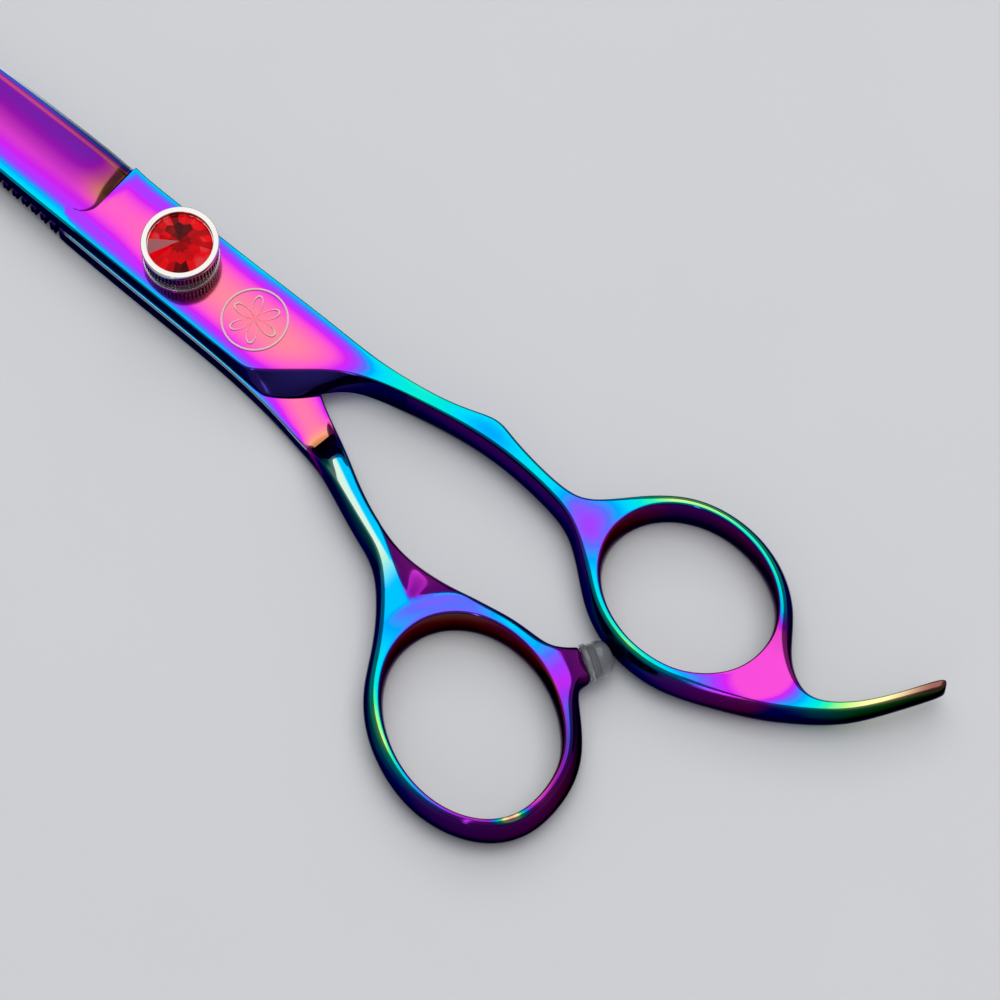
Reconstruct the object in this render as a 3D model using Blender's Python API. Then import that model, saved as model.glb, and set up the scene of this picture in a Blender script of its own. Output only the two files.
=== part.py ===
"""Thinning shears with two finger rings, a tang, a crystal-topped tension knob and a rubber stop."""
import math

import bmesh
import bpy
from mathutils import Vector

MM = 0.001

# ---- heights (mm), pivot axis at X = Y = 0, shears lying on Z = 0 ----
FRONT_TOP = 6.4        # outer face of the front half
BACK_TOP = 3.2         # mating face of the back half
FRONT_BOTTOM = 3.3     # mating face of the front half
HANDLE_TOP = 6.3       # top of both shanks and rings
EDGE_LIFT = 0.6        # thickness of the plain blade at its cutting edge

# ---- pivot stack (mm) ----
HEAD_R = 4.0
HEAD_H = 1.5
NECK_HALF = 2.3        # half side of the square neck that keys the screw in the back half
STEM_R = 2.0
STEM_FLAT = 1.6        # half distance between the flats of the keyed stem
STEM_TOP = 9.05
FLAT_FROM = 6.5
FIT = 0.05
SLEEVE_R = 2.85
RIDE_R = 4.5
RIDE_Z = (2.87, 3.27)
SEAT_R = 4.7
SEAT_Z = (6.43, 6.75)
SPRING_R = (2.7, 3.7)
SPRING_MID = 7.14
SPRING_WAVE = 0.27
SPRING_T = 0.15
CLICK_R = 3.8
CLICK_Z = (7.53, 7.9)
KNOB_R = 4.8
KNOB_Z = (7.1, 10.6)
KNOB_CAVITY_TOP = 7.93
KNURLS = 36
CRYSTAL_R = 3.98
CRYSTAL_SEAT = (9.6, 10.1)

# ---- comb ----
TEETH = 30
COMB_X = (-15.4, -63.6)
SLOT_W = 0.75

# ---- stop ----
BOSS_DIR = Vector((0.49, 0.872, 0.0)).normalized()
BOSS_END = Vector((71.05, -7.35, 3.8))
STOP_HOLE_R = 1.25
STOP_HOLE_DEPTH = 3.2

bpy.ops.object.select_all(action="DESELECT")
for old in list(bpy.data.objects):
    bpy.data.objects.remove(old, do_unlink=True)

scene_collection = bpy.context.scene.collection


def material(name, color, roughness, metallic):
    mat = bpy.data.materials.new(name)
    mat.use_nodes = True
    bsdf = mat.node_tree.nodes["Principled BSDF"]
    bsdf.inputs["Base Color"].default_value = (*color, 1.0)
    bsdf.inputs["Roughness"].default_value = roughness
    bsdf.inputs["Metallic"].default_value = metallic
    mat.diffuse_color = (*color, 1.0)
    return mat


COATED = material("coated_steel_front", (0.55, 0.12, 0.62), 0.2, 1.0)
COATED_BACK = material("coated_steel_back", (0.25, 0.3, 0.75), 0.2, 1.0)
STEEL = material("polished_steel", (0.75, 0.75, 0.77), 0.2, 1.0)
SPRING_STEEL = material("spring_steel", (0.5, 0.5, 0.52), 0.3, 1.0)
NYLON = material("white_nylon", (0.85, 0.85, 0.8), 0.5, 0.0)
CHROME = material("chromed_brass", (0.82, 0.82, 0.84), 0.12, 1.0)
RED = material("red_crystal", (0.6, 0.01, 0.02), 0.05, 0.0)
FOIL = material("silver_foil", (0.7, 0.2, 0.2), 0.25, 1.0)
RUBBER = material("clear_silicone", (0.35, 0.36, 0.38), 0.35, 0.0)


def new_object(name, bm, mat, smooth=True):
    bmesh.ops.recalc_face_normals(bm, faces=bm.faces)
    mesh = bpy.data.meshes.new(name)
    bm.to_mesh(mesh)
    bm.free()
    for poly in mesh.polygons:
        poly.use_smooth = smooth
    if mat:
        mesh.materials.append(mat)
    obj = bpy.data.objects.new(name, mesh)
    scene_collection.objects.link(obj)
    return obj


# ---------------------------------------------------------------- forged halves

SECTION = ("TL", "TC", "TR", "SR", "BR", "BC", "BL", "SL")


class Cage:
    """Control cage of a forged half: eight-point sections joined into strips, rings and branches."""

    def __init__(self):
        self.bm = bmesh.new()
        self.crease = self.bm.edges.layers.float.new("crease_edge")

    def section(self, left, right, top, bottom, bulge, toe=(0.0, 0.0), mid=None):
        """One cross-section; left and right are the edges of its top band.

        bulge and toe move the side walls and the bottom edges outwards, as lengths or as (x, y) shifts.
        """
        left = Vector(left)
        right = Vector(right)
        out = (left - right).normalized()
        mid = (top + bottom) / 2 if mid is None else mid
        centre = (left + right) / 2

        def moved(point, direction, amount):
            return point + (Vector(amount) if isinstance(amount, tuple) else direction * amount)

        foot_l = moved(left, out, toe[0])
        foot_r = moved(right, -out, toe[1])
        flat = {
            "TL": (left, top), "TC": (centre, top), "TR": (right, top),
            "SR": (moved(right, -out, bulge[1]), mid), "BR": (foot_r, bottom),
            "BC": ((foot_l + foot_r) / 2, bottom), "BL": (foot_l, bottom),
            "SL": (moved(left, out, bulge[0]), mid),
        }
        return {key: self.bm.verts.new((p.x * MM, p.y * MM, z * MM)) for key, (p, z) in flat.items()}

    def mark(self, a, b, weight):
        edge = self.bm.edges.get((a, b))
        if edge:
            edge[self.crease] = max(edge[self.crease], weight)

    def bridge(self, a, b, crease_top, crease_bottom):
        """Skin between two sections."""
        for i, key in enumerate(SECTION):
            nxt = SECTION[(i + 1) % 8]
            self.bm.faces.new((a[key], a[nxt], b[nxt], b[key]))
        for key in ("TL", "TR"):
            self.mark(a[key], b[key], crease_top)
        for key in ("BL", "BR"):
            self.mark(a[key], b[key], crease_bottom)

    def cap(self, s, crease):
        """Four quads closing the end of a strip."""
        centre = sum((s[k].co for k in SECTION), Vector()) / 8
        c = self.bm.verts.new(centre)
        for quad in (("TL", "TC", "SL"), ("TR", "TC", "SR"), ("BR", "BC", "SR"), ("BL", "BC", "SL")):
            corner, flat_mid, side = quad
            self.bm.faces.new((s[corner], s[flat_mid], c, s[side]))
        for i, key in enumerate(SECTION):
            self.mark(s[key], s[SECTION[(i + 1) % 8]], crease)

    def ring(self, centre, semi, turn, stations, height, crease, junctions):
        """Closed ring; junctions hold the station index where a branch takes over the outer wall."""
        loops = []
        for angle, band, bulge_in, bulge_out in stations:
            local = math.radians(angle - turn)
            r = semi[0] * semi[1] / math.hypot(semi[1] * math.cos(local), semi[0] * math.sin(local))
            radial = Vector((math.cos(math.radians(angle)), math.sin(math.radians(angle))))
            outer = Vector(centre) + radial * (r + band)
            inner = Vector(centre) + radial * r
            loops.append(self.section(outer, inner, height[1], height[0], (bulge_out, bulge_in)))
        count = len(loops)
        open_walls = set()
        for j in junctions:
            open_walls |= {(j - 1) % count, j}
        for i in range(count):
            a = loops[i]
            b = loops[(i + 1) % count]
            for k, key in enumerate(SECTION):
                nxt = SECTION[(k + 1) % 8]
                if i in open_walls and "SL" in (key, nxt):
                    continue
                self.bm.faces.new((a[key], a[nxt], b[nxt], b[key]))
            if i not in open_walls:
                self.mark(a["TL"], b["TL"], crease[0])
                self.mark(a["BL"], b["BL"], crease[0])
            self.mark(a["TR"], b["TR"], crease[1])
            self.mark(a["BR"], b["BR"], crease[1])
        for j in junctions:
            self.bm.verts.remove(loops[j].pop("SL"))
        return loops

    def join(self, s, loops, j, flip, crease):
        """Skin from section s to the opening of the ring at station j."""
        count = len(loops)
        low = loops[(j - 1) % count]
        high = loops[(j + 1) % count]
        left, right = (low, high) if flip else (high, low)
        mid = loops[j]
        opening = (left["TL"], mid["TL"], right["TL"], right["SL"],
                   right["BL"], mid["BL"], left["BL"], left["SL"])
        for i, key in enumerate(SECTION):
            nxt = SECTION[(i + 1) % 8]
            self.bm.faces.new((s[key], s[nxt], opening[(i + 1) % 8], opening[i]))
        for key, k in (("TL", 0), ("TR", 2), ("BR", 4), ("BL", 6)):
            self.mark(s[key], opening[k], crease)


def strip(cage, rows, folds=()):
    """Run of sections; each row is left, right, top, bottom, bulge, toe, top crease, bottom crease.

    folds lists (row, "T" or "B", weight) where the top or bottom face breaks across the strip.
    """
    sections = []
    for left, right, top, bottom, bulge, toe, _, _ in rows:
        sections.append(cage.section(left, right, top, bottom, bulge, toe))
    for i in range(len(rows) - 1):
        top_crease = (rows[i][6] + rows[i + 1][6]) / 2
        bottom_crease = (rows[i][7] + rows[i + 1][7]) / 2
        cage.bridge(sections[i], sections[i + 1], top_crease, bottom_crease)
    for row, face, weight in folds:
        s = sections[row]
        cage.mark(s[face + "L"], s[face + "C"], weight)
        cage.mark(s[face + "C"], s[face + "R"], weight)
    return sections


def forged(name, cage, mat):
    obj = new_object(name, cage.bm, mat)
    mod = obj.modifiers.new("round", "SUBSURF")
    mod.levels = 1
    mod.render_levels = 1
    mod.boundary_smooth = "ALL"
    return obj


FB = FRONT_BOTTOM
FT = FRONT_TOP
HT = HANDLE_TOP
NO = (0.0, 0.0)

# plain blade, ricasso and shank of the front half, tip to ring
FRONT_ROWS = [
    ((-66.5, 0.5), (-66.2, -0.8), 4.5, FB, NO, NO, 1, 1),
    ((-63.0, 1.9), (-63.0, -1.8), 4.8, FB, NO, NO, 1, 1),
    ((-52.0, 3.8), (-52.0, -3.8), 5.3, FB, NO, NO, 1, 1),
    ((-38.0, 5.1), (-38.0, -5.4), 5.8, FB, NO, NO, 1, 1),
    ((-24.0, 5.55), (-24.0, -6.05), 6.2, FB, NO, NO, 1, 1),
    ((-14.6, 5.75), (-14.6, -6.05), FT, FB, NO, NO, 1, 1),
    ((-11.6, 5.1), (-11.6, -6.05), FT, FB, NO, NO, 1, 1),
    ((-5.0, 5.15), (-5.0, -6.05), FT, FB, NO, NO, 1, 1),
    ((6.5, 5.25), (6.5, -6.05), FT, FB, NO, NO, 1, 1),
    ((13.5, 5.4), (12.6, -6.05), FT, FB, NO, (0.0, 0.2), 1, 1),
    ((19.0, 5.5), (17.3, -5.2), FT, FB, (0.1, (0.6, -0.7)), (0.0, (1.0, -1.2)), 0.9, 1),
    ((24.0, 5.5), (21.3, -1.8), FT, FB, (0.2, (1.2, -1.1)), (0.0, (1.7, -1.6)), 0.8, 0.9),
    ((28.0, 5.6), (24.8, 1.6), FT, FB, (0.3, (1.0, -0.9)), (0.0, (1.0, -0.8)), 0.7, 0.8),
    ((32.0, 6.1), (29.4, 3.5), 6.35, 0.4, (0.4, 0.9), (0.0, 0.2), 0.6, 0.4),
    ((36.8, 7.0), (34.6, 4.7), HT, 0.3, (0.5, 0.9), NO, 0.6, 0.3),
    ((40.6, 8.3), (39.0, 5.6), HT, 0.3, (0.5, 0.9), NO, 0.6, 0.3),
    ((43.4, 9.5), (42.8, 6.2), HT, 0.3, (0.3, 0.9), NO, 0.6, 0.3),
    ((46.2, 8.6), (46.6, 6.5), HT, 0.3, (0.5, 1.0), NO, 0.6, 0.3),
    ((51.0, 7.9), (51.0, 6.4), HT, 0.2, (0.6, 1.1), NO, 0.5, 0.3),
    ((55.4, 7.6), (55.2, 6.0), HT, 0.1, (0.7, 1.1), NO, 0.4, 0.2),
    ((58.6, 8.3), (58.6, 5.2), HT, 0.0, (0.7, 1.1), NO, 0.3, 0.2),
]

# finger ring: angle, band width, inner bulge, outer bulge
FINGER_RING = [
    (8, 1.3, 0.4, 1.2), (33, 1.2, 0.4, 1.2), (58, 1.15, 0.4, 1.2), (82, 1.1, 0.4, 1.2),
    (106, 1.1, 0.4, 1.2), (130, 1.2, 0.4, 1.2), (155, 1.3, 0.4, 1.2), (180, 1.4, 0.4, 1.2),
    (205, 1.5, 0.4, 1.3), (228, 1.3, 0.4, 1.3), (250, 1.2, 0.4, 1.3), (270, 1.2, 0.4, 1.3),
    (291, 1.3, 0.4, 1.3), (312, 1.5, 0.4, 1.3), (340, 1.6, 0.4, 1.2),
]

# tang, ring to tip
TANG_ROWS = [
    ((92.0, 6.8), (89.8, 1.3), HT, 0.2, (0.9, 1.0), NO, 0.3, 0.2),
    ((94.6, 6.5), (92.9, 3.3), HT, 0.4, (0.8, 0.9), NO, 0.4, 0.2),
    ((97.3, 8.0), (96.0, 5.4), HT, 0.7, (0.7, 0.8), NO, 0.4, 0.2),
    ((100.2, 11.0), (99.4, 8.2), HT, 1.1, (0.6, 0.7), NO, 0.4, 0.2),
    ((102.7, 15.0), (102.4, 12.6), 6.2, 1.6, (0.5, 0.6), NO, 0.4, 0.2),
    ((104.5, 18.3), (105.0, 16.6), 6.1, 2.1, (0.3, 0.4), NO, 0.4, 0.2),
    ((105.2, 19.0), (105.9, 18.2), 5.9, 2.5, (0.2, 0.2), NO, 0.4, 0.2),
]

# comb blade, ricasso and shank of the back half, tip to ring
BT = BACK_TOP
BACK_ROWS = [
    ((-66.0, -0.3), (-66.2, -1.0), BT, 1.7, NO, NO, 1, 1),
    ((-63.0, 1.1), (-63.0, -1.95), BT, 1.5, NO, NO, 1, 1),
    ((-52.0, 2.9), (-52.0, -3.9), BT, 1.2, NO, NO, 1, 1),
    ((-38.0, 4.1), (-38.0, -5.5), BT, 0.8, NO, NO, 1, 1),
    ((-24.0, 4.55), (-24.0, -6.1), BT, 0.4, NO, NO, 1, 1),
    ((-14.0, 4.7), (-14.0, -6.25), BT, 0.0, NO, NO, 1, 1),
    ((-6.0, 4.8), (-6.0, -6.4), BT, 0.0, NO, NO, 1, 1),
    ((6.5, 4.9), (6.5, -6.4), BT, 0.0, NO, NO, 1, 1),
    ((12.6, 4.9), (13.0, -6.5), BT, 0.0, NO, NO, 1, 1),
    ((16.8, 4.0), (18.6, -6.9), BT, 0.0, NO, NO, 1, 1),
    ((20.8, 0.8), (22.0, -7.3), BT, 0.0, (0.2, 0.2), NO, 1, 0.9),
    ((24.5, -2.0), (25.4, -7.8), BT, 0.0, (0.3, 0.3), NO, 1, 0.8),
    ((28.6, -3.9), (28.0, -8.2), BT, 0.0, (0.4, 0.3), NO, 1, 0.6),
    ((32.4, -6.1), (31.2, -8.9), HT, 0.0, (0.5, 0.7), NO, 0.8, 0.4),
    ((36.3, -8.3), (35.4, -10.4), HT, 0.1, (0.5, 1.0), NO, 0.5, 0.3),
    ((41.2, -10.3), (40.3, -12.2), HT, 0.1, (0.5, 1.2), NO, 0.4, 0.2),
    ((46.4, -11.5), (45.0, -13.6), HT, 0.0, (0.6, 1.2), NO, 0.3, 0.2),
]

THUMB_RING = [
    (8, 1.2, 0.5, 1.5), (29, 1.3, 0.5, 1.5), (50, 1.4, 0.5, 1.4), (69, 1.5, 0.5, 1.4),
    (88, 1.5, 0.5, 1.3), (109, 1.5, 0.5, 1.2), (131, 1.7, 0.5, 1.2), (155, 1.8, 0.4, 1.2),
    (179, 1.6, 0.4, 1.2), (202, 1.4, 0.4, 1.2), (225, 1.3, 0.4, 1.2), (248, 1.1, 0.4, 1.2),
    (270, 1.1, 0.4, 1.2), (292, 1.0, 0.4, 1.3), (315, 1.0, 0.4, 1.4), (338, 1.1, 0.5, 1.5),
]


def build_front():
    cage = Cage()
    rows = strip(cage, FRONT_ROWS, [(12, "B", 1.0), (13, "B", 0.4)])
    cage.cap(rows[0], 1.0)
    loops = cage.ring((74.8, 7.6), (12.3, 9.65), -6.0, FINGER_RING, (0.0, HT), (0.25, 0.45), (7, 14))
    cage.join(rows[-1], loops, 7, True, 0.2)
    tang = strip(cage, TANG_ROWS)
    cage.join(tang[0], loops, 14, False, 0.2)
    cage.cap(tang[-1], 0.2)
    return forged("front_half", cage, COATED)


def build_back():
    cage = Cage()
    rows = strip(cage, BACK_ROWS, [(12, "T", 1.0), (13, "T", 0.8)])
    cage.cap(rows[0], 1.0)
    loops = cage.ring((65.8, -21.5), (13.9, 10.4), -25.0, THUMB_RING, (0.0, HT), (0.25, 0.45), (3, 7))
    cage.join(rows[-1], loops, 7, True, 0.2)
    side = Vector((-BOSS_DIR.y, BOSS_DIR.x, 0.0))
    boss = []
    for back, half, crease in ((1.6, 2.3, 0.2), (0.0, 2.0, 0.3)):
        p = BOSS_END - BOSS_DIR * back
        boss.append(cage.section((p + side * half).xy, (p - side * half).xy, 6.2, 1.3, (0.4, 0.4)))
    cage.join(boss[0], loops, 3, False, 0.2)
    cage.bridge(boss[0], boss[1], 0.3, 0.3)
    cage.cap(boss[1], 0.7)
    return forged("back_half", cage, COATED_BACK)


# ---------------------------------------------------------------- cutters and turned pieces

def cut(target, cutter, solver="EXACT"):
    cutter.hide_render = True
    cutter.display_type = "WIRE"
    mod = target.modifiers.new("cut_" + cutter.name, "BOOLEAN")
    mod.operation = "DIFFERENCE"
    mod.solver = solver
    mod.object = cutter


def turned(name, profile, mat, segments=48, shape=None, smooth=True):
    """Closed profile of (radius, height) points turned round Z; shape(row, angle) scales a radius."""
    bm = bmesh.new()
    rings = []
    for row, (r, z) in enumerate(profile):
        if r == 0:
            rings.append([bm.verts.new((0, 0, z * MM))])
            continue
        ring = []
        for i in range(segments):
            a = 2 * math.pi * i / segments
            rr = r * (shape(row, i) if shape else 1.0)
            ring.append(bm.verts.new((rr * math.cos(a) * MM, rr * math.sin(a) * MM, z * MM)))
        rings.append(ring)
    closed = profile[0][0] != 0
    pairs = [(i, i + 1) for i in range(len(rings) - 1)]
    if closed:
        pairs.append((len(rings) - 1, 0))
    for a, b in pairs:
        ra = rings[a]
        rb = rings[b]
        for i in range(segments):
            j = (i + 1) % segments
            quad = [ra[i % len(ra)], ra[j % len(ra)], rb[j % len(rb)], rb[i % len(rb)]]
            bm.faces.new(list(dict.fromkeys(quad)))
    return new_object(name, bm, mat, smooth)


def block(name, low, high, mat=None):
    bm = bmesh.new()
    bmesh.ops.create_cube(bm, size=1.0)
    for v in bm.verts:
        for k in range(3):
            v.co[k] = (low[k] if v.co[k] < 0 else high[k]) * MM
    return new_object(name, bm, mat, False)


def rod(name, r, z0, z1, segments=32):
    return turned(name, [(0, z0), (r, z0), (r, z1), (0, z1)], None, segments, smooth=False)


def loft(name, sections, mat=None):
    """Solid through equal polygons of (x, y, z) points."""
    bm = bmesh.new()
    loops = [[bm.verts.new(Vector(p) * MM) for p in s] for s in sections]
    for a, b in zip(loops, loops[1:]):
        for i in range(len(a)):
            j = (i + 1) % len(a)
            bm.faces.new((a[i], a[j], b[j], b[i]))
    bm.faces.new(loops[0])
    bm.faces.new(loops[-1])
    return new_object(name, bm, mat, False)


# hollow grind of the plain blade
SCOOP_END = -12.3
RIDGE_IN = 2.35        # width of the flat left along the spine at the ricasso


def spine_y(x):
    t = max(0.0, (-24.0 - x) / 42.0)
    return -6.05 + 5.0 * t ** 1.6


def edge_height(x):
    t = (SCOOP_END - x) / 54.0
    return FRONT_BOTTOM + EDGE_LIFT + 0.35 * (1 - t)


def scoop_section(x, corner, sink):
    """Section of the grinding cut; corner moves the ridge out, sink lifts the cut at its end."""
    t = (SCOOP_END - x) / 54.0
    ridge = spine_y(x) + RIDGE_IN * (1 - 0.55 * t) + corner
    z_ridge = FRONT_TOP + 0.5 - 1.5 * t
    z_edge = edge_height(x) + sink
    out = 7.0
    pts = [(x, out, 9.0), (x, ridge, 9.0), (x, ridge, z_ridge)]
    steps = 6
    surface = FRONT_TOP - 0.15 - 1.7 * t
    for i in range(steps + 1):
        u = i / steps
        y = ridge + 0.25 + (out - ridge - 0.25) * u
        z = surface + (z_edge - surface) * (1 - (1 - u) ** 1.7) + 0.25 * sink * (1 - u)
        pts.append((x, y, z))
    return pts


def build_scoop():
    rows = []
    for x, corner, sink in ((-12.2, 2.6, 2.4), (-12.6, 1.2, 1.3), (-13.3, 0.5, 0.7), (-15.3, 0.0, 0.25),
                            (-19.0, 0.0, 0.0), (-30.0, 0.0, 0.0), (-40.0, 0.0, 0.0), (-50.0, 0.0, 0.0),
                            (-58.0, 0.0, 0.0), (-70.0, 0.0, 0.0)):
        rows.append(scoop_section(x, corner, sink))
    return loft("scoop_cutter", rows)


# comb slots between the teeth of the back half
def comb_root(x):
    t = (COMB_X[0] - x) / (COMB_X[0] - COMB_X[1])
    return 1.5 - 0.9 * t - 1.1 * t * t


def comb_cutters():
    bm = bmesh.new()
    pitch = (COMB_X[1] - COMB_X[0]) / TEETH
    for i in range(TEETH + 1):
        x = COMB_X[0] + pitch * i
        root = comb_root(x)
        h = SLOT_W / 2
        outline = [(x - h, -8.0), (x + h, -8.0), (x + h, root - h)]
        outline += [(x + h * math.cos(a), root - h + h * math.sin(a))
                    for a in (math.pi / 4, math.pi / 2, 3 * math.pi / 4)]
        outline.append((x - h, root - h))
        prism(bm, outline, -1.0, 4.0)
    return new_object("comb_cutter", bm, None, False)


def prism(bm, outline, z0, z1):
    low = [bm.verts.new((x * MM, y * MM, z0 * MM)) for x, y in outline]
    high = [bm.verts.new((x * MM, y * MM, z1 * MM)) for x, y in outline]
    bm.faces.new(low)
    bm.faces.new(high)
    for i in range(len(outline)):
        j = (i + 1) % len(outline)
        bm.faces.new((low[i], low[j], high[j], high[i]))


def back_bevel():
    """Wedge ground off the outside of the comb blade towards the tooth tips."""
    rows = []
    for x in (-11.0, -13.0, -18.0, -40.0, -55.0, -70.0):
        t = min(1.0, max(0.0, (-11.0 - x) / 7.0))
        far = max(0.0, (-18.0 - x) / 50.0)
        tip = -0.4 + 2.2 * t + 0.2 * far
        heel = -0.4 + 0.35 * t + 1.2 * far
        rows.append([(x, 2.0 - 2.5 * far, -2.0), (x, -8.0, -2.0), (x, -8.0, tip), (x, 2.0 - 2.5 * far, heel)])
    return loft("bevel_cutter", rows)


front = build_front()
back = build_back()
cut(front, rod("front_bore_cutter", SLEEVE_R + FIT, 2.0, 8.0))
cut(front, build_scoop())
cut(back, back_bevel())
cut(back, comb_cutters())
cut(back, rod("head_recess_cutter", HEAD_R + FIT, -1.0, HEAD_H + FIT))
NECK_HOLE = NECK_HALF + FIT
cut(back, block("neck_cutter", (-NECK_HOLE, -NECK_HOLE, 0.5), (NECK_HOLE, NECK_HOLE, 4.0)))
cut(back, rod("ride_recess_cutter", RIDE_R + FIT, RIDE_Z[0] - 0.02, 5.0))


def aim(obj, base, direction):
    obj.location = base * MM
    obj.rotation_mode = "QUATERNION"
    obj.rotation_quaternion = direction.to_track_quat("Z", "Y")


stop_hole = turned("stop_hole_cutter", [(0, -STOP_HOLE_DEPTH), (STOP_HOLE_R, -STOP_HOLE_DEPTH),
                                        (STOP_HOLE_R, 2.0), (0, 2.0)], None, 24, smooth=False)
aim(stop_hole, BOSS_END, BOSS_DIR)
cut(back, stop_hole)

# ---------------------------------------------------------------- pivot stack

screw = turned("pivot_screw", [(0, 0), (HEAD_R - 0.2, 0), (HEAD_R, 0.2), (HEAD_R, HEAD_H), (STEM_R, HEAD_H),
                               (STEM_R, STEM_TOP - 0.3), (STEM_R - 0.3, STEM_TOP), (0, STEM_TOP)], STEEL, 40)
neck = block("neck_cutter_add", (-NECK_HALF, -NECK_HALF, HEAD_H - 0.3), (NECK_HALF, NECK_HALF, 2.7))
neck.hide_render = True
neck.display_type = "WIRE"
add = screw.modifiers.new("square_neck", "BOOLEAN")
add.operation = "UNION"
add.solver = "EXACT"
add.object = neck
for side, name in ((1, "flat_cutter_a"), (-1, "flat_cutter_b")):
    lo, hi = sorted((side * STEM_FLAT, side * 4.0))
    cut(screw, block(name, (lo, -3.0, FLAT_FROM), (hi, 3.0, 10.0)))
for side, name in ((1, "pin_hole_cutter_a"), (-1, "pin_hole_cutter_b")):
    pin = rod(name, 0.5, -0.5, 0.6, 12)
    pin.location = (side * 2.6 * MM, 0, 0)
    cut(screw, pin)

turned("pivot_sleeve", [(STEM_R + FIT, FB + 0.05), (SLEEVE_R, FB + 0.05), (SLEEVE_R, FT - 0.02),
                        (STEM_R + FIT, FT - 0.02)], NYLON, 40)
turned("ride_washer", [(STEM_R + 0.6, RIDE_Z[0]), (RIDE_R, RIDE_Z[0]), (RIDE_R, RIDE_Z[1]),
                       (STEM_R + 0.6, RIDE_Z[1])], NYLON, 40)
turned("seat_washer", [(STEM_R + 0.1, SEAT_Z[0]), (SEAT_R, SEAT_Z[0]), (SEAT_R + 0.1, sum(SEAT_Z) / 2),
                       (SEAT_R, SEAT_Z[1]), (STEM_R + 0.1, SEAT_Z[1])], STEEL, 48)


def wave_spring():
    bm = bmesh.new()
    segments = 36
    rings = []
    for i in range(segments):
        a = 2 * math.pi * i / segments
        z = SPRING_MID + SPRING_WAVE * math.cos(3 * a)
        c = math.cos(a)
        s = math.sin(a)
        corners = ((SPRING_R[0], -0.5), (SPRING_R[1], -0.5), (SPRING_R[1], 0.5), (SPRING_R[0], 0.5))
        rings.append([bm.verts.new((r * c * MM, r * s * MM, (z + h * SPRING_T) * MM)) for r, h in corners])
    for i in range(segments):
        a = rings[i]
        b = rings[(i + 1) % segments]
        for k in range(4):
            bm.faces.new((a[k], a[(k + 1) % 4], b[(k + 1) % 4], b[k]))
    return new_object("wave_spring", bm, SPRING_STEEL, True)


wave_spring()

click = turned("click_plate", [(STEM_R + FIT, CLICK_Z[0]), (CLICK_R, CLICK_Z[0]), (CLICK_R, CLICK_Z[1]),
                               (STEM_R + FIT, CLICK_Z[1])], STEEL, 40)
for side, name in ((1, "key_a"), (-1, "key_b")):
    lo, hi = sorted((side * (STEM_FLAT + FIT), side * 2.6))
    key = block(name, (lo, -1.5, CLICK_Z[0] + 0.02), (hi, 1.5, CLICK_Z[1] - 0.02))
    key.hide_render = True
    key.display_type = "WIRE"
    mod = click.modifiers.new("key", "BOOLEAN")
    mod.operation = "UNION"
    mod.solver = "EXACT"
    mod.object = key

# ---------------------------------------------------------------- knob, foil and crystal

KNOB_PROFILE = [
    (STEM_R + FIT, KNOB_CAVITY_TOP), (CLICK_R + 0.2, KNOB_CAVITY_TOP), (CLICK_R + 0.2, KNOB_Z[0]),
    (KNOB_R - 0.25, KNOB_Z[0]), (KNOB_R, KNOB_Z[0] + 0.25), (KNOB_R, KNOB_Z[0] + 0.35),
    (KNOB_R, KNOB_Z[1] - 0.75), (KNOB_R, KNOB_Z[1] - 0.65), (KNOB_R, KNOB_Z[1] - 0.2),
    (KNOB_R - 0.2, KNOB_Z[1]), (CRYSTAL_R + 0.07, KNOB_Z[1]), (CRYSTAL_R + 0.07, CRYSTAL_SEAT[1]),
    (1.5, CRYSTAL_SEAT[0]), (0, CRYSTAL_SEAT[0]),
]


def knurl(row, i):
    return 0.965 if row in (5, 6) and i % 2 else 1.0


def build_knob():
    profile = [(0, 9.35), (STEM_R + FIT, 9.35)] + KNOB_PROFILE
    return turned("knob", profile, CHROME, 2 * KNURLS, lambda row, i: knurl(row - 2, i))


knob = build_knob()
turned("crystal_foil", [(0, CRYSTAL_SEAT[0] + 0.02), (1.5, CRYSTAL_SEAT[0] + 0.02),
                        (CRYSTAL_R, CRYSTAL_SEAT[1] + 0.02), (CRYSTAL_R, CRYSTAL_SEAT[1] + 0.12),
                        (1.5, CRYSTAL_SEAT[0] + 0.12), (0, CRYSTAL_SEAT[0] + 0.12)], FOIL, 32)

FACETS = 16


def build_crystal():
    """Faceted round stone: pointed crown over a shallow pavilion."""
    z_girdle = CRYSTAL_SEAT[1] + 0.17
    rows = [(0, CRYSTAL_SEAT[0] + 0.15), (1.5, CRYSTAL_SEAT[0] + 0.15), (CRYSTAL_R, z_girdle),
            (CRYSTAL_R, z_girdle + 0.15), (2.4, z_girdle + 0.42), (0, z_girdle + 0.68)]
    return turned("crystal", rows, RED, FACETS, smooth=False)


build_crystal()

# ---------------------------------------------------------------- rubber stop

STOP_PROFILE = [
    (0, -STOP_HOLE_DEPTH + 0.1), (STOP_HOLE_R - FIT, -STOP_HOLE_DEPTH + 0.1), (STOP_HOLE_R - FIT, 0.12),
    (2.2, 0.12), (2.4, 0.35), (2.4, 0.8), (2.1, 0.95), (2.25, 1.15), (2.1, 1.35), (2.25, 1.55),
    (2.1, 1.75), (2.25, 1.95), (2.25, 2.5), (2.05, 3.0), (1.55, 3.42), (0.85, 3.62), (0, 3.66),
]
stop = turned("bumper", STOP_PROFILE, RUBBER, 28)
aim(stop, BOSS_END, BOSS_DIR)
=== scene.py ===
"""Looks of the thinning shears, laid out as an add-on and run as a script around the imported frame."""
import math

import bmesh
import bpy
import numpy as np
from bpy.props import FloatProperty, FloatVectorProperty, IntProperty, PointerProperty
from mathutils import Matrix, Vector
from mathutils.bvhtree import BVHTree


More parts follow.
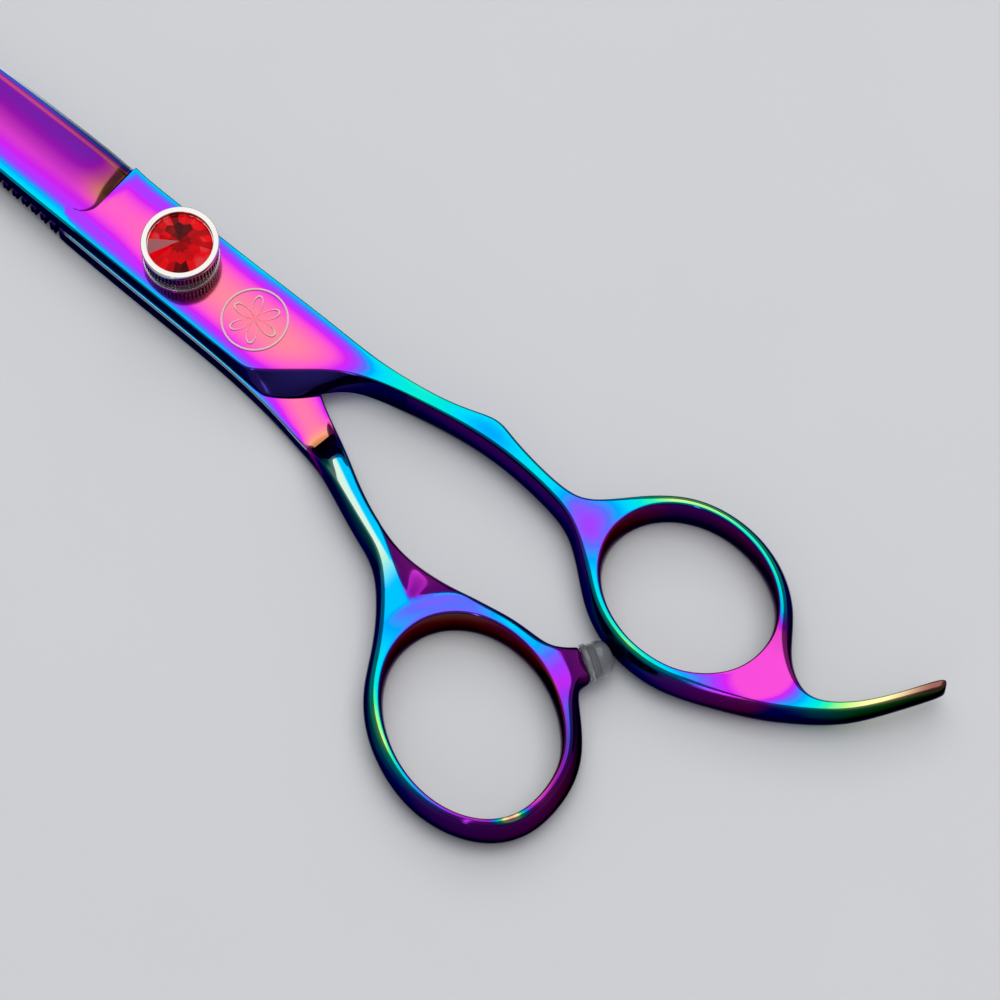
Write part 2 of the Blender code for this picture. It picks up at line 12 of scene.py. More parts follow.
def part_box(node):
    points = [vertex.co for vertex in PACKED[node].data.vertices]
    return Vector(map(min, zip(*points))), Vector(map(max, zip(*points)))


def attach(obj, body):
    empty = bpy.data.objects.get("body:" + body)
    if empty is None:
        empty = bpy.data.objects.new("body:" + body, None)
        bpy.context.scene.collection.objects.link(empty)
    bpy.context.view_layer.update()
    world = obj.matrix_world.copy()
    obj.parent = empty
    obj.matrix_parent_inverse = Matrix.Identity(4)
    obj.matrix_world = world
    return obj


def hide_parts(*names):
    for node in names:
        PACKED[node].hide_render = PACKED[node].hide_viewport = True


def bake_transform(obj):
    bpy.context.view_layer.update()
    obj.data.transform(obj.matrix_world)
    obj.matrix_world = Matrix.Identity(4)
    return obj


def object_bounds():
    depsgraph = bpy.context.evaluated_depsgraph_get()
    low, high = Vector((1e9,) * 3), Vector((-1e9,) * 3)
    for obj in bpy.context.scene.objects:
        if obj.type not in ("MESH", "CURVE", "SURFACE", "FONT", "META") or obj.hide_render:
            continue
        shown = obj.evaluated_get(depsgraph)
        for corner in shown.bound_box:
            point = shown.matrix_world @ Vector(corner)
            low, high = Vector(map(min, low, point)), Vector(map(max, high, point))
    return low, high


bl_info = {
    "name": "Thinning shears",
    "version": (1, 0, 0),
    "blender": (4, 5, 0),
    "location": "3D View > Sidebar > Shears",
    "description": "Builds rainbow-coated thinning shears round their packed parts",
    "category": "Object",
}

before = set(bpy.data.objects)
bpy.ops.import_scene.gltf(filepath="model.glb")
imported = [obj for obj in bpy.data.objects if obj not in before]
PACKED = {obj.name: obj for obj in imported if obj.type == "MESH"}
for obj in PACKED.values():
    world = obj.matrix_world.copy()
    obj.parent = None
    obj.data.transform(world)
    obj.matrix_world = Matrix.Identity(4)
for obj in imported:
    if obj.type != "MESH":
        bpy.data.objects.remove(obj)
CAD_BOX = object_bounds()

MM = 0.001
KNOB_LOW, KNOB_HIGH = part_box("knob")
STONE_LOW, STONE_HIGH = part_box("crystal")
SEAT_LOW, SEAT_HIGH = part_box("seat_washer")
SCREW_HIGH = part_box("pivot_screw")[1]
SPRING_LOW, SPRING_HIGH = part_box("wave_spring")

# heights of the forgings, in mm
FRONT_TOP = 6.4
FRONT_BOTTOM = 3.3
BACK_TOP = 3.2
HANDLE_TOP = 6.3


# ------------------------------------------------------------------ node trees as expressions

class Wire:
    """One output of a node, with arithmetic."""

    def __init__(self, sheet, socket):
        self.sheet = sheet
        self.socket = socket

    def _math(self, operation, first, second=None):
        values = [first] if second is None else [first, second]
        return self.sheet.node("ShaderNodeMath", {"operation": operation}, values)

    def __add__(self, other):
        return self._math("ADD", self, other)

    def __radd__(self, other):
        return self._math("ADD", other, self)

    def __sub__(self, other):
        return self._math("SUBTRACT", self, other)

    def __rsub__(self, other):
        return self._math("SUBTRACT", other, self)

    def __mul__(self, other):
        return self._math("MULTIPLY", self, other)

    def __rmul__(self, other):
        return self._math("MULTIPLY", other, self)

    def __truediv__(self, other):
        return self._math("DIVIDE", self, other)

    def __pow__(self, other):
        return self._math("POWER", self, other)

    def __lt__(self, other):
        return self._math("LESS_THAN", self, other)

    def __gt__(self, other):
        return self._math("GREATER_THAN", self, other)

    def call(self, operation, other=None):
        return self._math(operation, self, other)


class Sheet:
    """A node tree that is written with one method."""

    def __init__(self, tree):
        self.tree = tree

    def node(self, kind, settings=None, inputs=(), out=0):
        made = self.tree.nodes.new(kind)
        for key, value in (settings or {}).items():
            if key == "stops":
                self._stops(made.color_ramp, value)
            else:
                setattr(made, key, value)
        pairs = inputs.items() if isinstance(inputs, dict) else enumerate(inputs)
        for key, value in pairs:
            self.feed(made.inputs[key], value)
        return Wire(self, made.outputs[out])

    def axes(self, place):
        """X, Y and Z of a position, as three wires."""
        split = self.node("ShaderNodeSeparateXYZ", {}, [place])
        return [Wire(self, axis) for axis in split.socket.node.outputs]

    def feed(self, socket, value):
        if isinstance(value, Wire):
            self.tree.links.new(value.socket, socket)
        elif value is not None:
            socket.default_value = value

    @staticmethod
    def _stops(ramp, stops):
        while len(ramp.elements) < len(stops):
            ramp.elements.new(1.0)
        for element, (position, color) in zip(ramp.elements, stops):
            element.position = position
            element.color = (*color, 1.0)


class Finish(Sheet):
    """A material: a Principled shader and what feeds it."""

    def __init__(self, name, **constants):
        self.material = bpy.data.materials.new(name)
        self.material.use_nodes = True
        super().__init__(self.material.node_tree)
        self.shader = self.tree.nodes["Principled BSDF"]
        for key, value in constants.items():
            self.shader.inputs[key.replace("_", " ")].default_value = value
        self.place = self.node("ShaderNodeTexCoord", out="Object")

    def noise(self, scale, detail=2.0, stretch=(1.0, 1.0, 1.0)):
        spot = self.node("ShaderNodeMapping", {}, {"Vector": self.place, "Scale": stretch})
        return self.node("ShaderNodeTexNoise", {}, {"Vector": spot, "Scale": scale, "Detail": detail})

    def painted(self, name):
        return self.node("ShaderNodeAttribute", {"attribute_name": name}, out="Fac")

    def mix(self, factor, first, second, blend="MIX"):
        settings = {"data_type": "RGBA", "blend_type": blend}
        return self.node("ShaderNodeMix", settings, {0: factor, 6: first, 7: second}, out=2)

    def bump(self, height, strength, distance):
        return self.node("ShaderNodeBump", {}, {"Height": height, "Strength": strength, "Distance": distance})

    def wear(self, **links):
        for key, value in links.items():
            self.feed(self.shader.inputs[key.replace("_", " ")], value)
        return self.material


def shade(red, green, blue):
    """Screen colour, 0 to 255, as the linear colour that a shader takes."""
    return tuple(((c / 255 + 0.055) / 1.055) ** 2.4 if c > 10 else c / 255 / 12.92
                 for c in (red, green, blue))


# ------------------------------------------------------------------ settings

class ShearSizes(bpy.types.PropertyGroup):
    teeth: IntProperty(name="Comb teeth", description="Slots along the comb blade", default=30, min=2)
    slot: FloatProperty(name="Slot width", description="Gap between two comb teeth", default=0.75 * MM,
                        unit="LENGTH", subtype="DISTANCE")
    notch: FloatProperty(name="Tooth notch", description="Width of the groove in each tooth tip",
                         default=0.34 * MM, unit="LENGTH", subtype="DISTANCE")
    ribs: IntProperty(name="Knob ribs", description="Ribs round the tension knob", default=60, min=3)
    rib: FloatProperty(name="Rib radius", description="Radius of one knob rib", default=0.145 * MM,
                       unit="LENGTH", subtype="DISTANCE")
    facets: IntProperty(name="Stone facets", description="Main facets round the stone", default=12, min=3)
    smoothness: IntProperty(name="Smoothness", description="Subdivision of the forgings", default=3, min=1,
                            max=4)
    film_reach: FloatProperty(name="Film reach", description="How far from an edge the coating changes",
                              default=2.5 * MM, unit="LENGTH", subtype="DISTANCE")


class ShearFinish(bpy.types.PropertyGroup):
    polish: FloatProperty(name="Polish", description="Roughness of the coated steel", default=0.09, min=0,
                          max=1, subtype="FACTOR")
    stone: FloatVectorProperty(name="Stone", description="Colour of the stone", subtype="COLOR",
                               default=shade(205, 0, 12), min=0, max=1)
    steel: FloatVectorProperty(name="Steel", description="Colour of bare steel", subtype="COLOR",
                               default=shade(205, 205, 203), min=0, max=1)
    silicone: FloatVectorProperty(name="Stop", description="Colour of the rubber stop", subtype="COLOR",
                                  default=shade(176, 179, 184), min=0, max=1)
    nylon: FloatVectorProperty(name="Nylon", description="Colour of the sleeve and ride washer",
                               subtype="COLOR", default=shade(226, 224, 214), min=0, max=1)
    floor: FloatVectorProperty(name="Floor", description="Colour of the floor", subtype="COLOR",
                               default=shade(216, 217, 220), min=0, max=1)
    key_light: FloatProperty(name="Key light", description="Power of the large soft light", default=6.6,
                             min=0, unit="POWER")


# ------------------------------------------------------------------ finishes

# the coating's colours, from thin edges to the middle of broad faces and into hollows
FILM_SPAN = 1.4
FILM_COLORS = (
    (0.06, (190, 120, 110)), (0.16, (226, 196, 150)), (0.24, (228, 226, 150)), (0.30, (150, 214, 120)),
    (0.36, (50, 208, 140)), (0.42, (0, 200, 185)), (0.50, (0, 182, 214)), (0.57, (0, 140, 224)),
    (0.64, (76, 92, 232)), (0.71, (140, 50, 224)), (0.79, (182, 28, 206)), (0.87, (214, 66, 182)),
    (0.95, (222, 92, 156)), (1.02, (226, 112, 136)), (1.10, (226, 138, 112)), (1.20, (140, 98, 38)),
    (1.34, (72, 88, 70)),
)


def coated_steel(name, etched):
    """Polished steel under a thin rainbow film; the forgings carry its thickness as "film", a painted shade
    that darkens the rainbow, and a mix towards plain steel.
    """
    look = bpy.context.scene.shear_finish
    finish = Finish(name, Metallic=1.0, Specular_Tint=(0.22, 0.18, 0.3, 1.0))
    drift = finish.noise(38.0, 1.0)
    fine = finish.noise(900.0, 3.0, (0.25, 1.0, 1.0))
    film = finish.painted("film") + (drift - 0.5) * 0.09
    stops = [(at / FILM_SPAN, shade(*color)) for at, color in FILM_COLORS]
    rainbow = finish.node("ShaderNodeValToRGB", {"stops": stops}, [film / FILM_SPAN])
    # painted shade: a multiplier from the forgings that darkens walls, hollows and faces turned away
    depth = finish.painted("depth")
    grey = finish.node("ShaderNodeCombineColor", {}, [depth, depth, depth])
    color = finish.mix(1.0, rainbow, grey, "MULTIPLY")
    # plain steel colour: bare on the honed edge, and painted highlights and paler patches elsewhere
    color = finish.mix(finish.painted("bare"), color, (*look.steel, 1.0))
    rough = look.polish + fine * 0.05
    height = fine * 0.1
    if etched:
        line = etched_badge(finish)
        # painted shadow: a shifted copy of the badge, darkened beside its lines
        groove_shadow = etched_badge(finish, 0.12 * MM)
        color = finish.mix(groove_shadow * 0.6, color, (*shade(60, 30, 60), 1.0))
        color = finish.mix(line, color, (*shade(206, 180, 180), 1.0))
        rough = rough + line * 0.3
        height = height - line
    bump = finish.bump(height, 0.5, 0.02 * MM)
    return finish.wear(Base_Color=color, Roughness=rough, Normal=bump)


BADGE_AT = (12.35 * MM, -0.35 * MM)
BADGE_R = 4.05 * MM


def etched_badge(finish, shift=0.0):
    """Laser-etched ring round a plain six-petal rosette, between the knob and the shank."""
    x, y, z = finish.axes(finish.place)
    x = x - BADGE_AT[0] - shift
    y = y - BADGE_AT[1] + shift
    r = (x * x + y * y).call("SQRT")
    turn = y.call("ARCTAN2", x)
    petal = (turn * 3.0).call("COSINE").call("ABSOLUTE") * (BADGE_R * 0.78)
    ring = (r - BADGE_R).call("ABSOLUTE") < 0.12 * MM
    rose = (r - petal).call("ABSOLUTE") < 0.13 * MM
    inner = r < BADGE_R * 0.8
    return ring.call("MAXIMUM", rose * inner) * (z > (FRONT_TOP - 0.3) * MM)


def bright_metal(name, color, roughness, turned_marks=0.0, groove_shadow=0.0):
    """Polished metal with faint handling marks, tool rings where it was turned, and painted shade between
    ribs.
    """
    finish = Finish(name, Metallic=1.0)
    cloud = finish.noise(350.0, 3.0)
    x, y, z = finish.axes(finish.place)
    r = (x * x + y * y).call("SQRT")
    marks = (r * (2 * math.pi / (0.09 * MM))).call("SINE") * turned_marks
    tint = finish.mix(cloud * 0.25, (*color, 1.0), (*(c * 0.8 for c in color), 1.0))
    # painted shade: the ribbed band darkened, darkest in the grooves between the ribs
    if groove_shadow:
        low = (z > (KNOB_LOW[2] + 0.27 * MM)) * (z < (KNOB_HIGH[2] - 0.98 * MM)) * (r > 4.2 * MM)
        tint = finish.mix(low * 0.55, tint, (0.05, 0.05, 0.06, 1.0))
        tint = finish.mix(low * (r < groove_shadow), tint, (0.012, 0.012, 0.016, 1.0))
    bump = finish.bump(marks + cloud * 0.3, 0.3, 0.01 * MM)
    return finish.wear(Base_Color=tint, Roughness=roughness + cloud * 0.08, Normal=bump)


def nylon():
    look = bpy.context.scene.shear_finish
    finish = Finish("bearing_nylon", Subsurface_Weight=0.15)
    cloud = finish.noise(500.0, 3.0)
    tint = finish.mix(cloud, (*look.nylon, 1.0), (*(c * 0.9 for c in look.nylon), 1.0))
    bump = finish.bump(cloud, 0.2, 0.02 * MM)
    return finish.wear(Base_Color=tint, Roughness=0.45 + cloud * 0.1, Normal=bump)


def stone_glass():
    look = bpy.context.scene.shear_finish
    # the stone glows a little through emission: painted light for what bounces inside it, coloured by the
    # painted glints
    finish = Finish("red_stone", IOR=1.45, Specular_Tint=(1.0, 0.12, 0.12, 1.0), Emission_Strength=0.25)
    cloud = finish.noise(700.0, 1.0)
    glint = finish.painted("glint") + (cloud - 0.5) * 0.3
    red = look.stone
    stops = [(0.0, (0.012, 0.0, 0.002))]
    stops += [(at, tuple(c * share for c in red)) for at, share in ((0.3, 0.16), (0.55, 0.65), (0.8, 1.1))]
    stops.append((1.0, (0.3, 0.1, 0.11)))
    color = finish.node("ShaderNodeValToRGB", {"stops": stops}, [glint])
    return finish.wear(Base_Color=color, Emission_Color=color, Roughness=0.03 + cloud * 0.02)


def foil():
    finish = Finish("stone_foil", Metallic=1.0)
    cloud = finish.noise(420.0, 2.0)
    tint = finish.mix(cloud, (*shade(255, 70, 60), 1.0), (*shade(150, 10, 16), 1.0))
    return finish.wear(Base_Color=tint, Roughness=0.12 + cloud * 0.12)


def silicone():
    look = bpy.context.scene.shear_finish
    finish = Finish("clear_silicone", Transmission_Weight=0.75, IOR=1.41, Coat_Weight=0.5)
    cloud = finish.noise(420.0, 2.0)
    tint = finish.mix(cloud, (*look.silicone, 1.0), (*(c * 0.5 for c in look.silicone), 1.0))
    bump = finish.bump(cloud, 0.25, 0.05 * MM)
    return finish.wear(Base_Color=tint, Roughness=0.08 + cloud * 0.12, Normal=bump)


# ------------------------------------------------------------------ meshes

def piece(name, bm, finish=None, smooth_angle=30.0):
    bmesh.ops.recalc_face_normals(bm, faces=bm.faces)
    mesh = bpy.data.meshes.new(name)
    bm.to_mesh(mesh)
    bm.free()
    if finish:
        mesh.materials.append(finish)
    obj = bpy.data.objects.new(name, mesh)
    bpy.context.scene.collection.objects.link(obj)
    mesh.shade_smooth()
    mesh.set_sharp_from_angle(angle=math.radians(smooth_angle))
    return obj


def settle(obj, smooth_angle=30.0):
    """Turns what the modifiers make into a plain mesh."""
    graph = bpy.context.evaluated_depsgraph_get()
    mesh = bpy.data.meshes.new_from_object(obj.evaluated_get(graph), depsgraph=graph)
    obj.modifiers.clear()
    obj.data = mesh
    mesh.shade_smooth()
    mesh.set_sharp_from_angle(angle=math.radians(smooth_angle))


def hold_inside(obj, node):
    """Keeps a smoothed forging from swelling past the CAD shape it stands for."""
    low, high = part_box(node)
    for v in obj.data.vertices:
        v.co = [min(max(c, a), b) for c, a, b in zip(v.co, low, high)]


def discard(*objects):
    for obj in objects:
        bpy.data.objects.remove(obj, do_unlink=True)


def dress(obj, finish):
    obj.data.materials.clear()
    obj.data.materials.append(finish)


def stands_for(obj, body, slot, *nodes):
    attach(obj, body)
    if nodes:
        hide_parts(*nodes)


def turned(name, profile, finish, segments=128, smooth_angle=30.0):
    """Closed profile of (radius, height) points in mm, turned round Z."""
    bm = bmesh.new()
    rings = []
    for r, z in profile:
        count = segments if r else 1
        rings.append([bm.verts.new((r * math.cos(2 * math.pi * i / segments) * MM,
                                    r * math.sin(2 * math.pi * i / segments) * MM, z * MM))
                      for i in range(count)])
    pairs = list(zip(rings, rings[1:]))
    if profile[0][0]:
        pairs.append((rings[-1], rings[0]))
    for a, b in pairs:
        for i in range(segments):
            j = (i + 1) % segments
            loop = [a[i % len(a)], a[j % len(a)], b[j % len(b)], b[i % len(b)]]
            bm.faces.new(list(dict.fromkeys(loop)))
    return piece(name, bm, finish, smooth_angle)


def rounded(points, radius, steps=4):
    """Profile with every corner that turns at a (r, z, radius-factor) point rounded off."""
    result = []
    count = len(points)
    for i, (r, z, amount) in enumerate(points):
        if not amount:
            result.append((r, z))
            continue
        corner = Vector((r, z))
        before = (Vector(points[i - 1][:2]) - corner).normalized() * radius * amount
        after = (Vector(points[(i + 1) % count][:2]) - corner).normalized() * radius * amount
        for k in range(steps + 1):
            t = k / steps
            spot = corner + before * (1 - t) ** 2 + after * t ** 2
            result.append((spot.x, spot.y))
    return result


def block(name, low, high):
    bm = bmesh.new()
    bmesh.ops.create_cube(bm, size=1.0)
    for v in bm.verts:
        for k in range(3):
            v.co[k] = (low[k] if v.co[k] < 0 else high[k]) * MM
    return piece(name, bm)


def rod(name, r, z0, z1, segments=96):
    return turned(name, [(0, z0), (r, z0), (r, z1), (0, z1)], None, segments)


def cut(target, cutter):
    mod = target.modifiers.new("cut", "BOOLEAN")
    mod.operation = "DIFFERENCE"
    mod.solver = "MANIFOLD"
    mod.object = cutter


def aimed(obj, base, direction):
    """Moves the mesh so that its Z runs along direction from base, in mm."""
    turn = direction.to_track_quat("Z", "Y").to_matrix().to_4x4()
    turn.translation = base * MM
    obj.data.transform(turn)


# ------------------------------------------------------------------ forgings

# points round a section: top edge, its rounding, side wall, bottom rounding, bottom edge, and back up
LEFT_TOP, TOP, RIGHT_TOP = 0, 1, 2
RIGHT_SHOULDER, RIGHT_HEEL = 3, 5
RIGHT_FOOT, FOOT, LEFT_FOOT = 6, 7, 8
LEFT_HEEL, LEFT_WALL, LEFT_SHOULDER = 9, 10, 11
ROUND = 12


def hole_radius(semi, local):
    """Distance from an oval's centre to its edge."""
    return semi[0] * semi[1] / np.hypot(semi[1] * np.cos(local), semi[0] * np.sin(local))


class Forging:
    """Control cage of a forged half: twelve-point sections joined into strips, rings and branches."""

    def __init__(self):
        self.bm = bmesh.new()
        self.crease = self.bm.edges.layers.float.new("crease_edge")

    def section(self, left, right, top, bottom, bulge, toe, soft):
        """left and right are the edges of the top band; soft is how far each edge is rounded."""
        left = Vector(left)
        right = Vector(right)
        out = (left - right).normalized()
        middle = (top + bottom) / 2

        def moved(point, direction, amount):
            return point + (Vector(amount) if isinstance(amount, tuple) else direction * amount)

        foot_l = moved(left, out, toe[0])
        foot_r = moved(right, -out, toe[1])
        wall_l = moved(left, out, bulge[0])
        wall_r = moved(right, -out, bulge[1])
        sl, sr = soft
        points = (
            (left - out * sl, top), ((left + right) / 2, top), (right + out * sr, top),
            (right.lerp(wall_r, sr / 3), top - sr), (wall_r, middle),
            (foot_r.lerp(wall_r, sr / 3), bottom + sr),
            (foot_r + out * sr, bottom), ((foot_l + foot_r) / 2, bottom), (foot_l - out * sl, bottom),
            (foot_l.lerp(wall_l, sl / 3), bottom + sl), (wall_l, middle),
            (left.lerp(wall_l, sl / 3), top - sl),
        )
        return [self.bm.verts.new((p.x * MM, p.y * MM, z * MM)) for p, z in points]

    def fold(self, section, first, weight):
        """Breaks the surface across the strip, along three neighbouring points."""
        for i in (first, first + 1):
            edge = self.bm.edges.get((section[i], section[i + 1]))
            edge[self.crease] = weight

    def bridge(self, a, b):
        for i in range(ROUND):
            j = (i + 1) % ROUND
            self.bm.faces.new((a[i], a[j], b[j], b[i]))

    def strip(self, rows):
        sections = [self.section(*row) for row in rows]
        for a, b in zip(sections, sections[1:]):
            self.bridge(a, b)
        return sections

    def cap(self, s, crisp):
        """Closes the end of a strip with a grid of six quads."""
        top = s[TOP].co.lerp(s[FOOT].co, 0.12)
        low = s[TOP].co.lerp(s[FOOT].co, 0.88)
        upper = self.bm.verts.new(top)
        middle = self.bm.verts.new((s[TOP].co + s[FOOT].co) / 2)
        lower = self.bm.verts.new(low)
        column = (upper, middle, lower)
        right = s[RIGHT_SHOULDER:RIGHT_HEEL + 1]
        left = (s[LEFT_SHOULDER], s[LEFT_WALL], s[LEFT_HEEL])
        self.bm.faces.new((s[LEFT_TOP], s[TOP], upper, left[0]))
        self.bm.faces.new((s[TOP], s[RIGHT_TOP], right[0], upper))
        for k in (0, 1):
            self.bm.faces.new((left[k], column[k], column[k + 1], left[k + 1]))
            self.bm.faces.new((column[k], right[k], right[k + 1], column[k + 1]))
        self.bm.faces.new((left[2], lower, s[FOOT], s[LEFT_FOOT]))
        self.bm.faces.new((lower, right[2], s[RIGHT_FOOT], s[FOOT]))
        if crisp:
            for i in range(ROUND):
                self.bm.edges.get((s[i], s[(i + 1) % ROUND]))[self.crease] = crisp

    def ring(self, centre, semi, turn, stations, top, joints):
        """Closed ring; joints hold the stations where a branch takes over the outer wall."""
        loops = []
        for angle, band, bulge_in, bulge_out in stations:
            local = math.radians(angle - turn)
            r = hole_radius(semi, local)
            radial = Vector((math.cos(math.radians(angle)), math.sin(math.radians(angle))))
            outer = Vector(centre) + radial * (r + band)
            inner = Vector(centre) + radial * r
            loops.append(self.section(outer, inner, top, 0.0, (bulge_out, bulge_in), NO, RING_EDGES))
        count = len(loops)
        opened = set()
        for j in joints:
            opened |= {(j - 1) % count, j}
        for i in range(count):
            a = loops[i]
            b = loops[(i + 1) % count]
            for k in range(ROUND):
                if i in opened and k >= LEFT_FOOT:
                    continue
                n = (k + 1) % ROUND
                self.bm.faces.new((a[k], a[n], b[n], b[k]))
        for j in joints:
            for k in (LEFT_HEEL, LEFT_WALL, LEFT_SHOULDER):
                self.bm.verts.remove(loops[j][k])
        return loops

    def join(self, s, loops, j, flip):
        """Skin from section s to the opening of the ring at station j."""
        count = len(loops)
        low = loops[(j - 1) % count]
        high = loops[(j + 1) % count]
        left, right = (low, high) if flip else (high, low)
        mid = loops[j]
        opening = [left[LEFT_TOP], mid[LEFT_TOP], right[LEFT_TOP], right[LEFT_SHOULDER], right[LEFT_WALL],
                   right[LEFT_HEEL], right[LEFT_FOOT], mid[LEFT_FOOT], left[LEFT_FOOT], left[LEFT_HEEL],
                   left[LEFT_WALL], left[LEFT_SHOULDER]]
        for i in range(ROUND):
            n = (i + 1) % ROUND
            self.bm.faces.new((s[i], s[n], opening[n], opening[i]))

    def smoothed(self, name):
        """Subdivided and refined mesh of the cage."""
        obj = piece(name, self.bm)
        mod = obj.modifiers.new("round", "SUBSURF")
        mod.levels = bpy.context.scene.shear_sizes.smoothness
        mod.render_levels = mod.levels
        settle(obj)
        bm = bmesh.new()
        bm.from_mesh(obj.data)
        long_edges = [e for e in bm.edges if e.calc_length() > 0.6 * MM]
        bmesh.ops.subdivide_edges(bm, edges=long_edges, cuts=1, use_grid_fill=True)
        bm.to_mesh(obj.data)
        bm.free()
        return obj


FB = FRONT_BOTTOM
FT = FRONT_TOP
BT = BACK_TOP
HT = HANDLE_TOP
NO = (0.0, 0.0)
CRISP = (0.12, 0.12)
EASED = (0.2, 0.2)
SOFT = (0.34, 0.3)
RING_EDGES = (0.42, 0.26)

# plain blade, ricasso and shank of the front half, tip to ring
FRONT_ROWS = [
    ((-66.5, 0.5), (-66.2, -0.8), 4.5, FB, NO, NO, CRISP),
    ((-63.0, 1.9), (-63.0, -1.8), 4.8, FB, NO, NO, CRISP),
    ((-52.0, 3.8), (-52.0, -3.8), 5.3, FB, NO, NO, CRISP),
    ((-38.0, 5.1), (-38.0, -5.4), 5.8, FB, NO, NO, CRISP),
    ((-24.0, 5.55), (-24.0, -6.05), 6.2, FB, NO, NO, CRISP),
    ((-14.6, 5.75), (-14.6, -6.05), FT, FB, NO, NO, CRISP),
    ((-11.6, 5.1), (-11.6, -6.05), FT, FB, NO, NO, CRISP),
    ((-5.0, 5.15), (-5.0, -6.05), FT, FB, NO, NO, CRISP),
    ((6.5, 5.25), (6.5, -6.05), FT, FB, NO, NO, CRISP),
    ((12.5, 5.4), (12.0, -6.05), FT, FB, NO, (0.0, 0.2), CRISP),
    ((16.6, 5.45), (15.5, -6.05), FT, FB, (0.1, (0.3, -0.1)), (0.0, (0.6, -0.3)), CRISP),
    ((18.8, 5.5), (16.7, -5.45), FT, FB, (0.1, (0.9, -0.7)), (0.0, (2.0, -1.5)), CRISP),
    ((24.0, 5.5), (21.2, -1.5), FT, FB, (0.2, (1.1, -1.1)), (0.0, (1.9, -1.9)), EASED),
    ((28.0, 5.6), (24.8, 1.6), FT, FB, (0.3, (1.0, -0.9)), (0.0, (1.0, -0.8)), EASED),
    ((32.0, 6.1), (29.4, 3.5), 6.35, 0.4, (0.4, 0.9), (0.0, 0.2), EASED),
    ((36.8, 7.0), (34.6, 4.7), HT, 0.3, (0.5, 0.9), NO, SOFT),
    ((40.6, 8.3), (39.0, 5.6), HT, 0.3, (0.5, 0.9), NO, SOFT),
    ((43.4, 9.5), (42.8, 6.2), HT, 0.3, (0.3, 0.9), NO, SOFT),
    ((46.2, 8.6), (46.6, 6.5), HT, 0.3, (0.5, 1.0), NO, SOFT),
    ((51.0, 7.9), (51.0, 6.4), HT, 0.2, (0.6, 1.1), NO, SOFT),
    ((55.4, 7.6), (55.2, 6.0), HT, 0.1, (0.7, 1.1), NO, SOFT),
    ((58.6, 8.3), (58.6, 5.2), HT, 0.0, (0.7, 1.1), NO, SOFT),
]

# finger ring: angle, band width, inner bulge, outer bulge
FINGER_CENTRE = (74.8, 7.6)
FINGER_HOLE = (12.3, 9.65)
FINGER_TURN = -6.0
FINGER_RING = [
    (8, 1.3, 0.4, 1.2), (33, 1.2, 0.4, 1.2), (58, 1.15, 0.4, 1.2), (82, 1.1, 0.4, 1.2),
    (106, 1.1, 0.4, 1.2), (130, 1.2, 0.4, 1.2), (155, 1.3, 0.4, 1.2), (180, 1.4, 0.4, 1.2),
    (205, 1.5, 0.4, 1.3), (228, 1.3, 0.4, 1.3), (250, 1.2, 0.4, 1.3), (270, 1.2, 0.4, 1.3),
    (291, 1.3, 0.4, 1.3), (312, 1.5, 0.4, 1.3), (340, 1.6, 0.4, 1.2),
]
SHANK_JOINT = 7
TANG_JOINT = 14

# tang, ring to tip
TANG_ROWS = [
    ((92.0, 6.8), (89.8, 1.3), HT, 0.2, (0.9, 1.0), NO, SOFT),
    ((94.6, 6.5), (92.9, 3.3), HT, 0.4, (0.8, 0.9), NO, SOFT),
    ((97.3, 8.0), (96.0, 5.4), HT, 0.7, (0.7, 0.8), NO, SOFT),
    ((100.2, 11.0), (99.4, 8.2), HT, 1.1, (0.6, 0.7), NO, SOFT),
    ((102.7, 15.0), (102.4, 12.6), 6.2, 1.6, (0.5, 0.6), NO, SOFT),
    ((104.5, 18.3), (105.0, 16.6), 6.1, 2.1, (0.3, 0.4), NO, SOFT),
    ((105.2, 19.0), (105.9, 18.2), 5.9, 2.5, (0.2, 0.2), NO, EASED),
]

# comb blade, ricasso and shank of the back half, tip to ring
BACK_ROWS = [
    ((-66.0, -0.3), (-66.2, -1.0), BT, 1.7, NO, NO, CRISP),
    ((-63.0, 1.1), (-63.0, -1.95), BT, 1.5, NO, NO, CRISP),
    ((-52.0, 2.9), (-52.0, -3.9), BT, 1.2, NO, NO, CRISP),
    ((-38.0, 4.1), (-38.0, -5.5), BT, 0.8, NO, NO, CRISP),
    ((-24.0, 4.55), (-24.0, -6.1), BT, 0.4, NO, NO, CRISP),
    ((-14.0, 4.7), (-14.0, -6.25), BT, 0.0, NO, NO, CRISP),
    ((-6.0, 4.8), (-6.0, -6.4), BT, 0.0, NO, NO, CRISP),
    ((6.5, 4.9), (6.5, -6.4), BT, 0.0, NO, NO, CRISP),
    ((12.6, 4.9), (13.0, -6.5), BT, 0.0, NO, NO, CRISP),
    ((16.8, 4.0), (18.6, -6.9), BT, 0.0, NO, NO, CRISP),
    ((20.8, 0.8), (22.0, -7.3), BT, 0.0, (0.2, 0.2), NO, CRISP),
    ((24.5, -2.0), (25.4, -7.8), BT, 0.0, (0.3, 0.3), NO, CRISP),
    ((28.6, -3.9), (28.0, -8.2), BT, 0.0, (0.4, 0.3), NO, CRISP),
    ((32.4, -6.1), (31.2, -8.9), HT, 0.0, (0.5, 0.7), NO, EASED),
    ((36.3, -8.3), (35.4, -10.4), HT, 0.1, (0.5, 1.0), NO, SOFT),
    ((41.2, -10.3), (40.3, -12.2), HT, 0.1, (0.5, 1.2), NO, SOFT),
    ((46.4, -11.5), (45.0, -13.6), HT, 0.0, (0.6, 1.2), NO, SOFT),
]

